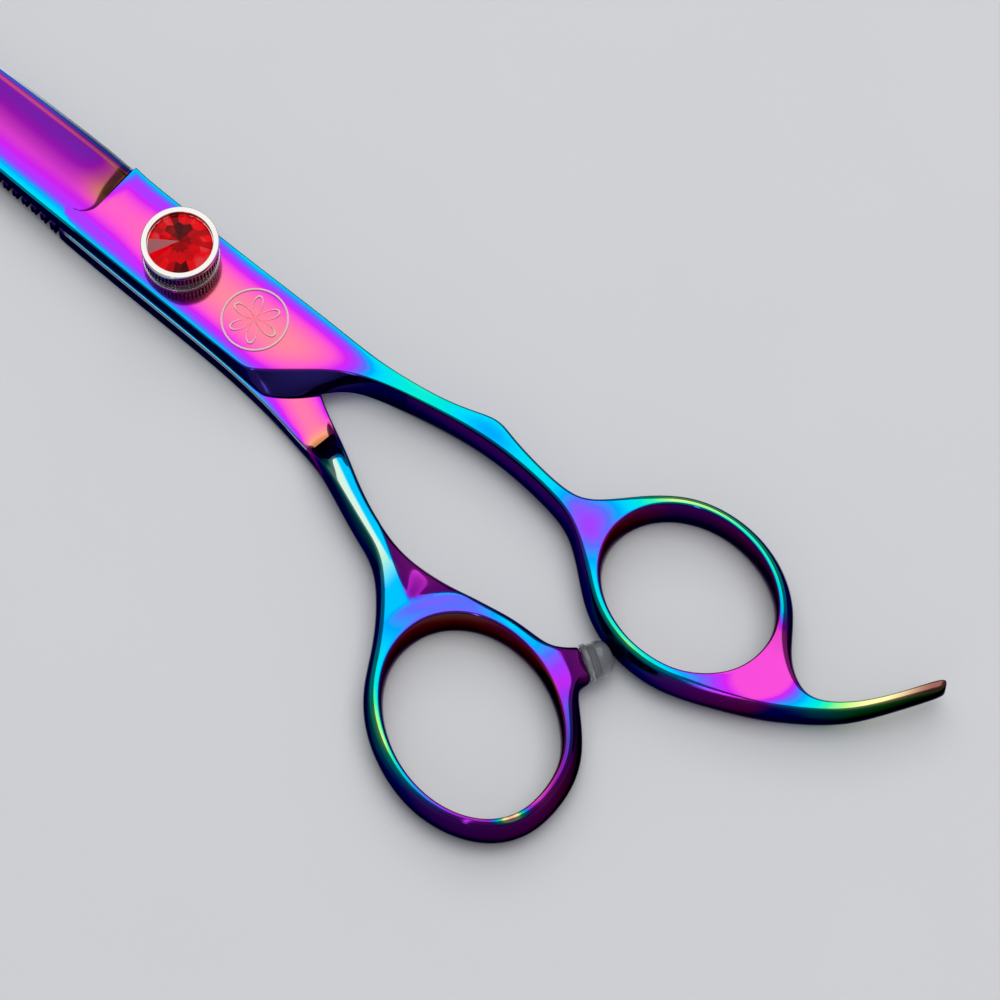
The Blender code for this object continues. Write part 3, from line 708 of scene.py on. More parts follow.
THUMB_CENTRE = (65.8, -21.5)
THUMB_HOLE = (13.9, 10.4)
THUMB_TURN = -25.0
THUMB_RING = [
    (8, 1.2, 0.5, 1.5), (29, 1.3, 0.5, 1.5), (50, 1.4, 0.5, 1.4), (69, 1.5, 0.5, 1.4),
    (88, 1.5, 0.5, 1.3), (109, 1.5, 0.5, 1.2), (131, 1.7, 0.5, 1.2), (155, 1.8, 0.4, 1.2),
    (179, 1.6, 0.4, 1.2), (202, 1.4, 0.4, 1.2), (225, 1.3, 0.4, 1.2), (248, 1.1, 0.4, 1.2),
    (270, 1.1, 0.4, 1.2), (292, 1.0, 0.4, 1.3), (315, 1.0, 0.4, 1.4), (338, 1.1, 0.5, 1.5),
]
BOSS_JOINT = 3
BOSS_DIR = Vector((0.49, 0.872, 0.0)).normalized()
BOSS_END = Vector((71.05, -7.35, 3.8))
STOP_HOLE_R = 1.25
STOP_HOLE_DEPTH = 3.2

# hollow grind of the plain blade
HOLLOW_END = -12.3
HOLLOW_CORNER = 2.6
HOLLOW_LENGTH = 58.0
EDGE_THICKNESS = 0.6
EDGE_FROM = -66.4
SPINE_Y = -6.05


def spine_y(x):
    """Line of the blade's spine: straight from the pivot, then curving in to the tip."""
    return SPINE_Y + 5.0 * (np.clip(-24.0 - x, 0, None) / 42.0) ** 1.6


def far_edge(obj):
    """Line of the blade's cutting edge, as two lists, from the wall that carries it."""
    found = {}
    for v in obj.data.vertices:
        x, y, z = (c / MM for c in v.co)
        if v.normal.y > 0.5 and EDGE_FROM < x < HOLLOW_END + 1.5 and z < FRONT_BOTTOM + 0.8:
            found[round(x, 2)] = y
    return sorted(found), [found[x] for x in sorted(found)]


def hollow_cutter(half):
    """Grinding cut: a hollow that starts level with the spine and ends in a round shoulder."""
    along = 76
    shares = [j / 32 for j in range(32)]
    edge = far_edge(half)
    across = len(shares) + 3
    bm = bmesh.new()
    grid = []
    for i in range(along + 1):
        s = HOLLOW_LENGTH * (i / along) ** 1.8
        row = []
        t = min(1.0, s / 54.0)
        top = FRONT_TOP - 0.1 * t - 1.7 * t * t
        ridge = spine_y(HOLLOW_END - s) + 0.9 * (1 - 0.45 * t)
        lip = float(np.interp(HOLLOW_END - s, *edge))
        lines = [ridge + (lip - 0.3 - ridge) * v for v in shares]
        for y in (*lines, lip - 0.3, lip - 0.24, lip + 0.3, lip + 1.6):
            into = max(0.0, HOLLOW_CORNER - (y - ridge - 1.0)) / HOLLOW_CORNER
            x = HOLLOW_END - s - HOLLOW_CORNER * (1 - math.sqrt(max(0.0, 1 - min(1.0, into) ** 2)))
            w = min(1.3, (y - ridge) / (5.7 - ridge))
            floor = top + 0.04 - (top - FRONT_BOTTOM - EDGE_THICKNESS) * (0.42 * w + 0.58 * w ** 2.0)
            rise = 1 - math.sqrt(1 - (1 - min(1.0, s / 2.2)) ** 2)
            z = floor + (top + 0.06 - floor) * rise
            row.append((x, y, max(z, FRONT_BOTTOM + 0.25)))
        grid.append(row)
    low = [[bm.verts.new(Vector(p) * MM) for p in row] for row in grid]
    high = [[bm.verts.new(Vector((p[0], p[1], 9.0)) * MM) for p in row] for row in grid]
    for i in range(along):
        for j in range(across):
            bm.faces.new((low[i][j], low[i][j + 1], low[i + 1][j + 1], low[i + 1][j]))
            bm.faces.new((high[i][j], high[i + 1][j], high[i + 1][j + 1], high[i][j + 1]))
        for j in (0, across):
            bm.faces.new((low[i][j], low[i + 1][j], high[i + 1][j], high[i][j]))
    for j in range(across):
        for i in (0, along):
            bm.faces.new((low[i][j], low[i][j + 1], high[i][j + 1], high[i][j]))
    return piece("hollow_cutter", bm)


def back_bevel():
    """Wedge ground off the outside of the comb blade towards the tooth tips."""
    bm = bmesh.new()
    loops = []
    for x in (-11.0, -11.5, -12.0, -13.0, -14.5, -18.0, -40.0, -55.0, -70.0):
        t = min(1.0, max(0.0, (-11.0 - x) / 7.0))
        far = max(0.0, (-18.0 - x) / 50.0)
        tip = -0.4 + 2.2 * t + 0.2 * far
        heel = -0.4 + 0.35 * t + 1.2 * far
        inner = 2.0 - 2.5 * far
        corners = ((x, inner, -2.0), (x, -8.0, -2.0), (x, -8.0, tip), (x, inner, heel))
        loops.append([bm.verts.new(Vector(p) * MM) for p in corners])
    for a, b in zip(loops, loops[1:]):
        for i in range(4):
            j = (i + 1) % 4
            bm.faces.new((a[i], a[j], b[j], b[i]))
    bm.faces.new(loops[0])
    bm.faces.new(loops[-1])
    return piece("bevel_cutter", bm)


# ------------------------------------------------------------------ film thickness on the forgings

CELL = 0.4 * MM


class Coverage:
    """How much metal lies round a point, from above: low at edges and thin bars, near 1 on broad faces."""

    def __init__(self, obj, reach):
        mesh = obj.data
        faces = [tuple(p.vertices) for p in mesh.polygons]
        tree = BVHTree.FromPolygons([v.co for v in mesh.vertices], faces)
        co = np.array([v.co[:2] for v in mesh.vertices])
        pad = 4 * reach
        self.low = co.min(axis=0) - pad
        size = ((co.max(axis=0) + pad - self.low) / CELL).astype(int) + 2
        solid = np.zeros(size)
        down = Vector((0, 0, -1))
        for i in range(size[0]):
            x = self.low[0] + i * CELL
            for j in range(size[1]):
                y = self.low[1] + j * CELL
                pivot = x * x + y * y < (6 * MM) ** 2 and abs(y) < 5.5 * MM
                if pivot or tree.ray_cast(Vector((x, y, 0.05)), down)[0]:
                    solid[i, j] = 1.0
        self.share = self._blur(solid, reach / CELL)

    @staticmethod
    def _blur(field, sigma):
        half = int(3 * sigma)
        taps = np.exp(-0.5 * (np.arange(-half, half + 1) / sigma) ** 2)
        taps /= taps.sum()
        for axis in (0, 1):
            field = sum(w * np.roll(field, k, axis) for w, k in zip(taps, range(-half, half + 1)))
        return field

    def at(self, points):
        spot = (points - self.low) / CELL
        base = np.floor(spot).astype(int)
        part = spot - base
        total = np.zeros(len(points))
        for dx in (0, 1):
            for dy in (0, 1):
                weight = np.abs(1 - dx - part[:, 0]) * np.abs(1 - dy - part[:, 1])
                total += weight * self.share[base[:, 0] + dx, base[:, 1] + dy]
        return total


def smooth(low, high, value):
    """Soft ramp from 0 at low to 1 at high; low may be the larger of the two."""
    t = np.clip((value - low) / (high - low), 0.0, 1.0)
    return t * t * (3 - 2 * t)


def paint(obj, name, values):
    """Stores one value for each face corner, so that colours break where the surface does."""
    layer = obj.data.attributes.new(name, "FLOAT", "CORNER")
    layer.data.foreach_set("value", values.astype(np.float32))


class RingPlan:
    """Oval ring hole, with the film and the painted shade of its band listed by angle."""

    def __init__(self, centre, semi, turn, spread, table, walls):
        self.centre = np.array(centre)
        self.spread = spread
        self.semi = semi
        self.turn = turn
        self.table = np.array(table).T
        self.walls = np.array(walls).T

    def locate(self, x, y):
        """Angle in degrees, distance outside the hole, and unit direction to the hole's centre."""
        dx = x - self.centre[0]
        dy = y - self.centre[1]
        angle = np.degrees(np.arctan2(dy, dx)) % 360
        distance = np.hypot(dx, dy)
        outside = distance - hole_radius(self.semi, np.radians(angle - self.turn))
        return angle, outside, np.stack((-dx, -dy), axis=1) / distance[:, None]

    def wall(self, angle):
        return np.interp(angle, *self.walls, period=360)

    def band(self, angle):
        at, film, dim = self.table
        return np.interp(angle, at, film, period=360), np.interp(angle, at, dim, period=360)


FINGER_PLAN = RingPlan(FINGER_CENTRE, FINGER_HOLE, FINGER_TURN, 0.5, (
    (0, 0.86, 1.0), (14, 0.84, 0.8), (26, 0.52, 0.8), (50, 0.43, 0.9), (86, 0.41, 1.0), (115, 0.36, 1.0),
    (140, 0.33, 1.0), (165, 0.46, 1.0), (191, 0.58, 1.0), (215, 0.50, 1.0), (241, 0.44, 1.0),
    (266, 0.36, 1.0), (285, 0.45, 1.0), (305, 0.55, 1.0), (325, 0.66, 1.0), (345, 0.82, 1.0),
), ((0, 0.85), (50, 0.5), (130, 0.42), (190, 0.72), (240, 0.5), (280, 0.55), (330, 0.75)))
THUMB_PLAN = RingPlan(THUMB_CENTRE, THUMB_HOLE, THUMB_TURN, 0.25, (
    (0, 0.80, 0.5), (25, 0.64, 0.4), (45, 0.64, 0.7), (62, 0.72, 0.9), (90, 0.54, 1.0), (110, 0.52, 1.0),
    (130, 0.62, 1.0), (155, 0.56, 1.0), (180, 0.50, 1.0), (203, 0.43, 1.0), (221, 0.33, 1.0),
    (240, 0.30, 1.0), (258, 0.44, 0.9), (280, 0.58, 0.8), (300, 0.72, 0.7), (318, 0.80, 0.6),
    (349, 0.84, 0.7),
), ((0, 0.8), (60, 0.7), (140, 0.72), (195, 0.42), (235, 0.4), (280, 0.6), (330, 0.72)))
BAND_FILM = 0.47

# films by the colour that they give
BROWN_FILM = 0.07
MINT_FILM = 0.34
CYAN_FILM = 0.50
AZURE_FILM = 0.53
INDIGO_FILM = 0.655
NAVY_FILM = 0.70
PURPLE_FILM = 0.77
MAGENTA_FILM = 0.88
GOLD_FILM = 1.18

# the hollow grind, across from the spine at 0 to the cutting edge at 1: its film, and its painted shade
HOLLOW_AT = (0.0, 0.08, 0.16, 0.26, 0.40, 0.54, 0.68, 0.80, 0.87, 0.90, 0.93, 1.0)
HOLLOW_FILM = (0.48, 0.54, 0.72, 0.79, 0.85, 0.83, 0.77, 0.73, 0.76, 1.14, 0.62, 0.60)
HOLLOW_PAINTED_SHADE = (1.0, 1.0, 1.0, 0.95, 0.78, 0.55, 0.4, 0.38, 0.42, 0.5, 0.5, 0.5)


def film_on(obj, ring):
    """Place, normal, film and painted shade of each corner: film by coverage, and by angle round the ring."""
    reach = bpy.context.scene.shear_sizes.film_reach
    mesh = obj.data
    owner = np.array([loop.vertex_index for loop in mesh.loops])
    co = np.array([v.co for v in mesh.vertices])[owner]
    normal = np.array([corner.vector for corner in mesh.corner_normals])
    x, y, z = (co / MM).T
    film = Coverage(obj, reach).at(co[:, :2]) * 1.05
    film = film - 0.08 * (1 - smooth(0.52, 0.66, film)) * (1 - smooth(22, 34, x))
    angle, outside, inward = ring.locate(x, y)
    band_film, band_dim = ring.band(angle)
    near = 1 - smooth(3.4, 6.0, outside)
    film = film + (band_film + ring.spread * (film - BAND_FILM) - film) * near
    lean = 1 - np.abs(normal[:, 2])
    facing = np.clip((inward * normal[:, :2]).sum(axis=1), 0, 1) * near
    outer = smooth(0.2, 0.5, lean) * near * (facing < 0.05)
    film = film + (ring.wall(angle) - film) * outer
    film = film + 0.12 * lean + 0.4 * facing
    # painted shade: steep walls darkened, and the ring's band darkened by angle where it turns away
    depth = 1.0 - 0.84 * smooth(0.08, 0.52, lean)
    depth = depth * (1 + (band_dim - 1) * near)
    return np.stack((x, y, z), axis=1), normal, film, depth


def paint_front(obj):
    """Film, painted shade and bare steel of the plain blade, its shank, ring and tang."""
    place, normal, film, depth = film_on(obj, FINGER_PLAN)
    x, y, z = place.T
    up = normal[:, 2]
    film = np.where((x > 62) & (up > 0.5), np.minimum(film, 0.86), film)
    film = film - 0.1 * smooth(2, -9, x) * (film > 0.8) * (x < 4)
    # the tang's tip ends in a dull brown
    tip = smooth(101, 105, x)
    film = film + (BROWN_FILM - film) * tip * (up > 0.4)
    depth = depth * (1 - 0.55 * tip)
    # the ricasso turns cyan towards the far corner of the step
    shoulder = HOLLOW_END - HOLLOW_CORNER * smooth(-1.5, -5.2, y)
    crest = np.interp(y, (-4.0, 0.0, 3.0, 5.2), (1.1, 0.80, 0.62, 0.48))
    crest = crest + 0.17 * np.clip(x - shoulder, 0, None)
    film = np.where((z > FRONT_TOP - 0.1) & (x < 0) & (up > 0.5), np.minimum(film, crest), film)
    # the hollow grind, with bronze gathered at the foot of the step and painted shade darkening it towards
    # the cutting edge
    spine = spine_y(x)
    edge = np.interp(x, *far_edge(obj))
    v = np.clip((y - spine) / (edge - spine), 0, 1)
    below = z < FRONT_TOP - 0.04
    ground = (up > 0.15) & (((x < -15.0) & (v > 0.05)) | ((x < HOLLOW_END + 0.02) & below))
    foot = np.exp(-((HOLLOW_END - x) / 3.2) ** 2) * smooth(0.3, 0.6, v) * (1 - smooth(0.86, 0.96, v))
    film = np.where(ground, np.interp(v, HOLLOW_AT, HOLLOW_FILM) + 0.38 * foot, film)
    depth = np.where(ground, np.interp(v, HOLLOW_AT, HOLLOW_PAINTED_SHADE), depth)
    # the shank's walls are navy
    side = smooth(0.25, 0.6, 1 - np.abs(up)) * smooth(26, 34, x) * (1 - smooth(60, 64, x))
    film = film + (NAVY_FILM - film) * side
    # the slanted face under the ricasso is indigo, darkened with painted shade
    slant = smooth(0.1, 0.25, 1 - up) * (x > 11) * (x < 33) * (normal[:, 1] < 0.1) * (up > -0.3)
    film = film + (INDIGO_FILM - film) * slant
    depth = depth * (1 - 0.25 * slant)
    # the honed cutting edge is bare
    lip = (x < HOLLOW_END - 0.1) & (y > edge - 0.26) & (up > 0.1)
    paint(obj, "film", film)
    paint(obj, "depth", np.where(lip, 1.0, depth))
    paint(obj, "bare", lip * 0.85)


# the shank of the back half: middle of its top, and the valley beside it that runs into the ring
SHANK_LINE = ((31.8, -7.5), (35.8, -9.35), (40.7, -11.3), (45.5, -13.1))
VALLEY_START = Vector((42.0, -10.9))
VALLEY_END = Vector((49.7, -15.4))


def beside_valley(x, y):
    """Signed distance to the far side of the shank's crest, where the web towards the ring falls away."""
    along = (VALLEY_END - VALLEY_START).normalized()
    return (y - VALLEY_START.y) * along.x - (x - VALLEY_START.x) * along.y


def web_reach(x, y):
    """How far a point lies into the web between the shank's crest and the thumb ring's band, in mm."""
    angle, outside, _ = THUMB_PLAN.locate(x, y)
    one = np.clip(beside_valley(x, y), 0, None)
    other = np.clip(outside - 2.0, 0, None)
    web = 1.7 * one * other / (one + other + 0.15) * (x > 41) * (x < 60) * (y > -17.5)
    boss = np.clip(outside - 2.1, 0, None) * (angle > 38) * (angle < 90)
    return web, boss


def sink_web(obj):
    """Lets the web beside the shank and the boss fall away outside the raised band of the thumb ring."""
    mesh = obj.data
    co = np.array([v.co for v in mesh.vertices]) / MM
    x, y, z = co.T
    web, boss = web_reach(x, y)
    fall = 0.42 * web ** 2 / (web + 0.35) + 0.3 * boss ** 2 / (boss + 0.5)
    co[:, 2] -= np.minimum(fall, 1.6) * smooth(3.0, 6.0, z)
    mesh.vertices.foreach_set("co", (co * MM).ravel())
    mesh.update()


def paint_back(obj):
    """Film, painted shade and painted highlights of the comb blade, its shank and ring, with a paler patch on
    the shank.
    """
    place, normal, film, depth = film_on(obj, THUMB_PLAN)
    x, y, z = place.T
    up = normal[:, 2]
    top = up > 0.6
    angle, outside, _ = THUMB_PLAN.locate(x, y)
    cap = AZURE_FILM + 0.13 * (1 - smooth(1.4, 2.6, outside)) + 0.6 * smooth(60, 67, x)
    film = np.where((x > 40) & top, np.minimum(film, cap), film)
    # the foot of the step: gold on the flat, magenta and then navy up its wall, with painted shade deepening
    # up the wall
    step = top & (np.abs(z - BACK_TOP) < 0.4) & (x > 14)
    gold = step * np.exp(-np.clip((28.6 - x + 0.25 * (y + 6)) / 1.7, 0, None) ** 2) * smooth(-8.3, -7.4, y)
    film = film + 0.22 * step * np.exp(-((x - 27) / 5.5) ** 2) * smooth(-8.3, -6.6, y)
    film = film + (GOLD_FILM - film) * gold
    rise = (x > 27) & (x < 34) & (z > BACK_TOP + 0.1) & (z < HT - 0.5) & (normal[:, 0] < -0.2) & (y > -9.5)
    high = smooth(BACK_TOP + 0.2, BACK_TOP + 1.6, z)
    film = np.where(rise, MAGENTA_FILM - 0.22 * high, film)
    depth = np.where(rise, 0.5 - 0.3 * high, depth)
    # the shank: mint on the near half of its top, cyan on the far half; painted shade on its walls, the
    # up-facing near half paler
    line = np.interp(x, *np.array(SHANK_LINE).T)
    shank = (z > 5.0) * smooth(29.5, 31.5, x) * (1 - smooth(43.0, 48.0, x)) * (y > -16)
    far_side = smooth(-0.12, 0.12, y - line)
    split = MINT_FILM + (CYAN_FILM - MINT_FILM) * far_side
    film = film + (split + 0.25 * (1 - up) - film) * shank
    depth = np.where(shank * (up < 0.8) > 0.5, depth * 0.6, depth)
    pale = shank * (1 - far_side) * smooth(0.8, 0.95, up) * 0.75
    # the web and the boss fall away in purple, darkened with painted shade
    web, boss = web_reach(x, y)
    falls = smooth(0.1, 0.8, web + boss) * (z > 3.0)
    film = film + (PURPLE_FILM + 0.02 * (web + boss) - film) * falls
    depth = depth * (1 - falls * (0.1 + 0.62 * smooth(0.93, 0.985, up)))
    # painted highlights on the eased near edge of the ricasso and on the inner edge at the foot of the ring
    eased = (up > 0.3) & (up < 0.94) & (np.abs(z - BACK_TOP) < 0.3)
    eased = eased & (y < -5.9) & (x > -14) & (x < 27.5)
    glint = np.exp(-((angle - 331) / 8) ** 2) * (1 - smooth(0.1, 0.42, outside)) * (up > 0.2)
    film = film + (0.1 - film) * glint
    depth = np.maximum(np.where(eased, 1.0, depth), glint)
    # the comb teeth are navy, darkened with painted shade
    teeth = (x < -13.5) & (y < -5.0)
    paint(obj, "film", np.where(teeth, NAVY_FILM, film))
    paint(obj, "depth", np.where(teeth, np.minimum(depth, 0.3), depth))
    paint(obj, "bare", np.maximum(pale, eased * 0.75))


# ------------------------------------------------------------------ geometry-node trees

class Recipe(Sheet):
    """A geometry node tree with named inputs."""

    def __init__(self, name):
        super().__init__(bpy.data.node_groups.new(name, "GeometryNodeTree"))
        self.tree.interface.new_socket("Geometry", in_out="OUTPUT", socket_type="NodeSocketGeometry")
        self.inlet = self.tree.nodes.new("NodeGroupInput")
        self.keys = {}

    def entry(self, name, kind):
        socket = self.tree.interface.new_socket(name, in_out="INPUT", socket_type="NodeSocket" + kind)
        self.keys[name] = socket.identifier
        return Wire(self, self.inlet.outputs[name])

    def together(self, *parts):
        joined = self.node("GeometryNodeJoinGeometry")
        for part in parts:
            self.tree.links.new(part.socket, joined.socket.node.inputs[0])
        return joined

    def finish(self, geometry, look):
        """Ends the tree: turns instances into mesh, and gives it its material."""
        real = self.node("GeometryNodeRealizeInstances", {}, {"Geometry": geometry})
        dressed = self.node("GeometryNodeSetMaterial", {}, {"Geometry": real, "Material": look})
        outlet = self.tree.nodes.new("NodeGroupOutput")
        self.feed(outlet.inputs[0], dressed)

    def apply(self, obj, smooth_angle=30.0, **values):
        mod = obj.modifiers.new(self.tree.name, "NODES")
        mod.node_group = self.tree
        for name, value in values.items():
            mod[self.keys[name]] = value
        settle(obj, smooth_angle)


def comb_recipe():
    """Cuts slots and tooth notches along the comb blade."""
    r = Recipe("comb")
    body = r.entry("Body", "Geometry")
    slot = r.entry("Slot", "Object")
    notch = r.entry("Notch", "Object")
    count = r.entry("Count", "Int")
    start = r.entry("Start", "Float")
    pitch = r.entry("Pitch", "Float")
    look = r.entry("Finish", "Material")
    index = r.node("GeometryNodeInputIndex")

    def cuts(shape, shift, number, across):
        line = r.node("GeometryNodeMeshLine", {}, {"Count": number})
        x = start + pitch * (index + shift)
        t = (index + shift) / (count - 1)
        spot = r.node("ShaderNodeCombineXYZ", {}, [x, across(x, t), 0.0])
        placed = r.node("GeometryNodeSetPosition", {}, {"Geometry": line, "Position": spot})
        source = {"transform_space": "ORIGINAL"}
        thing = r.node("GeometryNodeObjectInfo", source, {"Object": shape}, out="Geometry")
        many = r.node("GeometryNodeInstanceOnPoints", {}, {"Points": placed, "Instance": thing})
        return r.node("GeometryNodeRealizeInstances", {}, {"Geometry": many})

    def root(x, t):
        return (1.5 - t * 0.9 - t * t * 1.1) * MM

    def tip(x, t):
        far = ((x / MM + 14.0) / -50.0).call("MAXIMUM", 0.0)
        return (far ** 2.3 * 4.6 - 6.25) * MM

    slots = cuts(slot, 0.0, count, root)
    notches = cuts(notch, 0.5, count - 1, tip)
    settings = {"operation": "DIFFERENCE", "solver": "MANIFOLD"}
    meshes = {"Mesh 1": body, "Mesh 2": r.together(slots, notches)}
    r.finish(r.node("GeometryNodeMeshBoolean", settings, meshes, out="Mesh"), look)
    return r


def knurl_recipe():
    """Stands ribs round a turned body."""
    r = Recipe("knurl")
    body = r.entry("Body", "Geometry")
    count = r.entry("Ribs", "Int")
    radius = r.entry("Radius", "Float")
    rib = r.entry("Rib Radius", "Float")
    tall = r.entry("Height", "Float")
    middle = r.entry("Middle", "Float")
    look = r.entry("Finish", "Material")
    circle = r.node("GeometryNodeMeshCircle", {}, {"Vertices": count, "Radius": radius})
    lift = r.node("ShaderNodeCombineXYZ", {}, [0.0, 0.0, middle])
    raised = r.node("GeometryNodeSetPosition", {}, {"Geometry": circle, "Offset": lift})
    sizes = {"Vertices": 14, "Side Segments": 1, "Radius": rib, "Depth": tall}
    bar = r.node("GeometryNodeMeshCylinder", {}, sizes)
    many = r.node("GeometryNodeInstanceOnPoints", {}, {"Points": raised, "Instance": bar})
    r.finish(r.together(body, many), look)
    return r


def wave_recipe():
    """Flat wire bent into a ring of waves."""
    r = Recipe("wave_wire")
    r.entry("Body", "Geometry")
    radius = r.entry("Radius", "Float")
    wide = r.entry("Width", "Float")
    thick = r.entry("Thickness", "Float")
    rise = r.entry("Rise", "Float")
    middle = r.entry("Middle", "Float")
    look = r.entry("Finish", "Material")
    circle = r.node("GeometryNodeCurvePrimitiveCircle", {}, {"Resolution": 144, "Radius": radius})
    x, y, _ = r.axes(r.node("GeometryNodeInputPosition"))
    turn = y.call("ARCTAN2", x)
    lift = r.node("ShaderNodeCombineXYZ", {}, [0.0, 0.0, (turn * 3.0).call("COSINE") * rise + middle])
    bent = r.node("GeometryNodeSetPosition", {}, {"Geometry": circle, "Offset": lift})
    upright = r.node("GeometryNodeSetCurveNormal", {"mode": "Z_UP"}, {"Curve": bent})
    strip = r.node("GeometryNodeCurvePrimitiveQuadrilateral", {}, {"Width": wide, "Height": thick})
    wire = r.node("GeometryNodeCurveToMesh", {}, {"Curve": upright, "Profile Curve": strip})
    r.finish(wire, look)
    return r


def prism(name, outline, z0, z1):
    """Upright solid on an outline."""
    bm = bmesh.new()
    low = [bm.verts.new((x * MM, y * MM, z0 * MM)) for x, y in outline]
    high = [bm.verts.new((x * MM, y * MM, z1 * MM)) for x, y in outline]
    bm.faces.new(low)
    bm.faces.new(high)
    for i in range(len(outline)):
        j = (i + 1) % len(outline)
        bm.faces.new((low[i], low[j], high[j], high[i]))
    return piece(name, bm)


# first and last slot along the comb blade
COMB_START = -15.4
COMB_STOP = -63.6


def comb_teeth(back, finish):
    """Cuts the round-bottomed slots, and a small notch in the tip of each tooth between them."""
    sizes = bpy.context.scene.shear_sizes
    h = sizes.slot / MM / 2
    arc = [(h * math.cos(a), -h + h * math.sin(a)) for a in np.linspace(0, math.pi, 9)]
    slot = prism("slot_shape", [(-h, -12.0), (h, -12.0)] + arc, -1.0, 4.0)
    n = sizes.notch / MM / 2
    notch = prism("notch_shape", [(-n, -0.5), (n, -0.5), (n, 0.05), (0.0, 0.35), (-n, 0.05)], -1.0, 4.0)
    pitch = (COMB_STOP - COMB_START) * MM / sizes.teeth
    comb_recipe().apply(back, Slot=slot, Notch=notch, Count=sizes.teeth + 1, Start=COMB_START * MM,
                        Pitch=pitch, Finish=finish)
    discard(slot, notch)


# ------------------------------------------------------------------ operators

class SHEARS_OT_front_half(bpy.types.Operator):
    """Build the plain blade, its shank, finger ring and tang"""

    bl_idname = "shears.front_half"
    bl_label = "Front half"

    def execute(self, context):
        forging = Forging()
        rows = forging.strip(FRONT_ROWS)
        forging.fold(rows[13], RIGHT_FOOT, 1.0)
        forging.fold(rows[14], RIGHT_FOOT, 0.4)
        forging.cap(rows[0], 1.0)
        joints = (SHANK_JOINT, TANG_JOINT)
        loops = forging.ring(FINGER_CENTRE, FINGER_HOLE, FINGER_TURN, FINGER_RING, HT, joints)
        forging.join(rows[-1], loops, SHANK_JOINT, True)
        tang = forging.strip(TANG_ROWS)
        forging.join(tang[0], loops, TANG_JOINT, False)
        forging.cap(tang[-1], 0.0)
        half = forging.smoothed("front_half_coated")
        hold_inside(half, "front_half")
        tools = [rod("bore_cutter", 2.9, 2.0, 8.0), hollow_cutter(half)]
        for tool in tools:
            cut(half, tool)
        settle(half)
        discard(*tools)
        paint_front(half)
        dress(half, coated_steel("rainbow_front", True))
        stands_for(half, "front_assembly", "coated_steel_front", "front_half")
        return {"FINISHED"}


class SHEARS_OT_back_half(bpy.types.Operator):
    """Build the comb blade, its shank, thumb ring and boss"""

    bl_idname = "shears.back_half"
    bl_label = "Back half"

    def execute(self, context):
        forging = Forging()
        rows = forging.strip(BACK_ROWS)
        forging.fold(rows[12], LEFT_TOP, 1.0)
        forging.fold(rows[13], LEFT_TOP, 0.8)
        forging.cap(rows[0], 1.0)
        loops = forging.ring(THUMB_CENTRE, THUMB_HOLE, THUMB_TURN, THUMB_RING, HT, (BOSS_JOINT, SHANK_JOINT))
        forging.join(rows[-1], loops, SHANK_JOINT, True)
        side = Vector((-BOSS_DIR.y, BOSS_DIR.x, 0.0))
        boss_rows = []
        for back, half, top in ((1.6, 2.3, 6.15), (0.0, 2.0, 5.9)):
            p = BOSS_END - BOSS_DIR * back
            ends = ((p + side * half).xy, (p - side * half).xy)
            boss_rows.append((*ends, top, 1.3, (0.4, 0.4), NO, (0.5, 0.5)))
        boss = forging.strip(boss_rows)
        forging.join(boss[0], loops, BOSS_JOINT, False)
        forging.cap(boss[1], 0.6)
        half = forging.smoothed("back_half_coated")
        hold_inside(half, "back_half")
        sink_web(half)
        hole = rod("stop_hole", STOP_HOLE_R, -STOP_HOLE_DEPTH, 2.0, 48)
        aimed(hole, BOSS_END, BOSS_DIR)
        tools = [back_bevel(), rod("head_recess", 4.05, -1.0, 1.55), rod("ride_recess", 4.55, 2.85, 5.0),
                 block("neck_hole", (-2.35, -2.35, 0.5), (2.35, 2.35, 4.0)), hole]
        for tool in tools:
            cut(half, tool)
        settle(half)
        discard(*tools)
        finish = coated_steel("rainbow_back", False)
        comb_teeth(half, finish)
        paint_back(half)
        dress(half, finish)
        stands_for(half, "back_assembly", "coated_steel_back", "back_half")
        return {"FINISHED"}


class SHEARS_OT_pivot(bpy.types.Operator):
    """Build the pivot screw and the seat washer, and finish the nylon bearings"""

    bl_idname = "shears.pivot"
    bl_label = "Pivot"

    def execute(self, context):
        steel = bright_metal("turned_steel", context.scene.shear_finish.steel, 0.14, 0.5)
        head = SCREW_HIGH[0] / MM
        top = SCREW_HIGH[2] / MM
        profile = rounded([(0, 0, 0), (head, 0, 1), (head, 1.5, 0.5), (2.0, 1.5, 0), (2.0, top, 1),
                           (0, top, 0)], 0.22)
        screw = turned("pivot_screw_turned", profile, steel)
        neck = block("neck", (-2.3, -2.3, 1.2), (2.3, 2.3, 2.7))
        added = screw.modifiers.new("neck", "BOOLEAN")
        added.operation = "UNION"
        added.solver = "EXACT"
        added.object = neck
        tools = [block("flat_a", (1.6, -3, 6.5), (4, 3, 10)), block("flat_b", (-4, -3, 6.5), (-1.6, 3, 10))]
        for x in (-2.6, 2.6):
            pin = rod("pin_hole", 0.5, -0.5, 0.6, 32)
            pin.data.transform(Matrix.Translation((x * MM, 0, 0)))
            tools.append(pin)
        for tool in tools:
            cut(screw, tool)
        settle(screw)
        discard(neck, *tools)
        stands_for(screw, "back_assembly", "polished_steel", "pivot_screw")

        rim = SEAT_HIGH[0] / MM
        low = SEAT_LOW[2] / MM
        high = SEAT_HIGH[2] / MM
        seat = turned("seat_washer_turned", rounded([(2.1, low, 0.4), (rim, low, 1), (rim, high, 1),
                                                     (2.1, high, 0.4)], 0.12), steel)
        stands_for(seat, "front_assembly", "polished_steel", "seat_washer")

        plastic = nylon()
        for node in ("pivot_sleeve", "ride_washer"):
            dress(PACKED[node], plastic)
        return {"FINISHED"}


